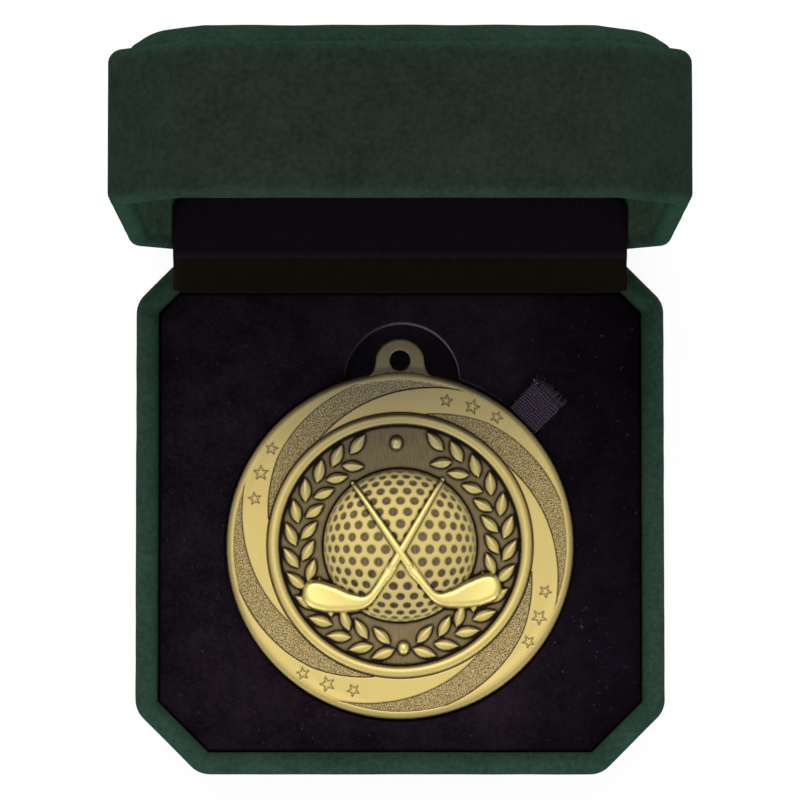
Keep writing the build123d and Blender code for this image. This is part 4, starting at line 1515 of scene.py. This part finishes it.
def make_floor():
    """Pale floor that looks nearly white to the camera and keeps the object's shadow."""
    bm = bmesh.new()
    bmesh.ops.create_grid(bm, x_segments=2, y_segments=2, size=3.0)
    mesh = bpy.data.meshes.new("floor")
    bm.to_mesh(mesh)
    bm.free()
    floor = bpy.data.objects.new("floor", mesh)
    floor.location = (0, 0, -0.0002)
    bpy.context.scene.collection.objects.link(floor)
    mat = bpy.data.materials.new("pale_floor")
    mat.use_nodes = True
    tree = mat.node_tree
    tree.nodes.clear()
    out = tree.nodes.new("ShaderNodeOutputMaterial")
    mix = tree.nodes.new("ShaderNodeMixShader")
    matte = tree.nodes.new("ShaderNodeBsdfDiffuse")
    matte.inputs["Color"].default_value = (0.86, 0.86, 0.86, 1)
    glow = tree.nodes.new("ShaderNodeEmission")
    glow.inputs["Strength"].default_value = 1.10
    part = tree.nodes.new("ShaderNodeMath")
    part.operation = "MULTIPLY"
    part.inputs[1].default_value = 0.82
    tree.links.new(background_rays(tree), part.inputs[0])
    tree.links.new(part.outputs[0], mix.inputs[0])
    tree.links.new(matte.outputs[0], mix.inputs[1])
    tree.links.new(glow.outputs[0], mix.inputs[2])
    tree.links.new(mix.outputs[0], out.inputs[0])
    mesh.materials.append(mat)


def make_world():
    """Soft studio light all round, white where the camera sees it."""
    world = bpy.data.worlds.new("studio")
    bpy.context.scene.world = world
    world.use_nodes = True
    tree = world.node_tree
    tree.nodes.clear()
    out = tree.nodes.new("ShaderNodeOutputWorld")
    soft = tree.nodes.new("ShaderNodeBackground")
    soft.inputs["Color"].default_value = (0.92, 0.94, 0.96, 1)
    soft.inputs["Strength"].default_value = 0.50
    white = tree.nodes.new("ShaderNodeBackground")
    white.inputs["Strength"].default_value = 1.0
    white.inputs["Color"].default_value = (1, 1, 1, 1)
    mix = tree.nodes.new("ShaderNodeMixShader")
    tree.links.new(background_rays(tree), mix.inputs[0])
    tree.links.new(soft.outputs[0], mix.inputs[1])
    tree.links.new(white.outputs[0], mix.inputs[2])
    tree.links.new(mix.outputs[0], out.inputs[0])


def area_light(name, place, target, size, power, colour=(1, 1, 1)):
    data = bpy.data.lights.new(name, "AREA")
    data.shape = "SQUARE"
    data.size = size
    data.energy = power
    data.color = colour
    lamp = bpy.data.objects.new(name, data)
    lamp.location = place
    way = Vector(target) - Vector(place)
    lamp.rotation_mode = "QUATERNION"
    lamp.rotation_quaternion = way.to_track_quat("-Z", "Y")
    bpy.context.scene.collection.objects.link(lamp)


make_floor()
make_world()
area_light("key_soft", (-0.08, 0.50, 1.22), (0, 0, 0.03), 0.60, 10.0, (1.0, 0.95, 0.86))
area_light("fill_left", (-0.55, -0.80, 0.42), (0, 0, 0.04), 0.50, 3.2, (1.0, 0.98, 0.95))
area_light("fill_right", (0.55, -0.80, 0.42), (0, 0, 0.04), 0.50, 2.8, (0.96, 0.98, 1.0))

SENSOR = 36.0
PHOTO_WIDTH, FOCAL_PIXELS = 800, 5608.6

camera_data = bpy.data.cameras.new("camera")
camera_data.sensor_width = SENSOR
camera_data.sensor_height = SENSOR
camera_data.sensor_fit = "HORIZONTAL"
camera_data.lens = FOCAL_PIXELS / PHOTO_WIDTH * SENSOR
camera_data.clip_start = 0.05
camera_data.clip_end = 10.0
camera = bpy.data.objects.new("camera", camera_data)
camera.location = (0, -0.0472, 0.9899)
camera.rotation_euler = (math.radians(3.872), 0, 0)
bpy.context.scene.collection.objects.link(camera)
bpy.context.scene.camera = camera
bpy.context.scene.view_settings.view_transform = "Standard"
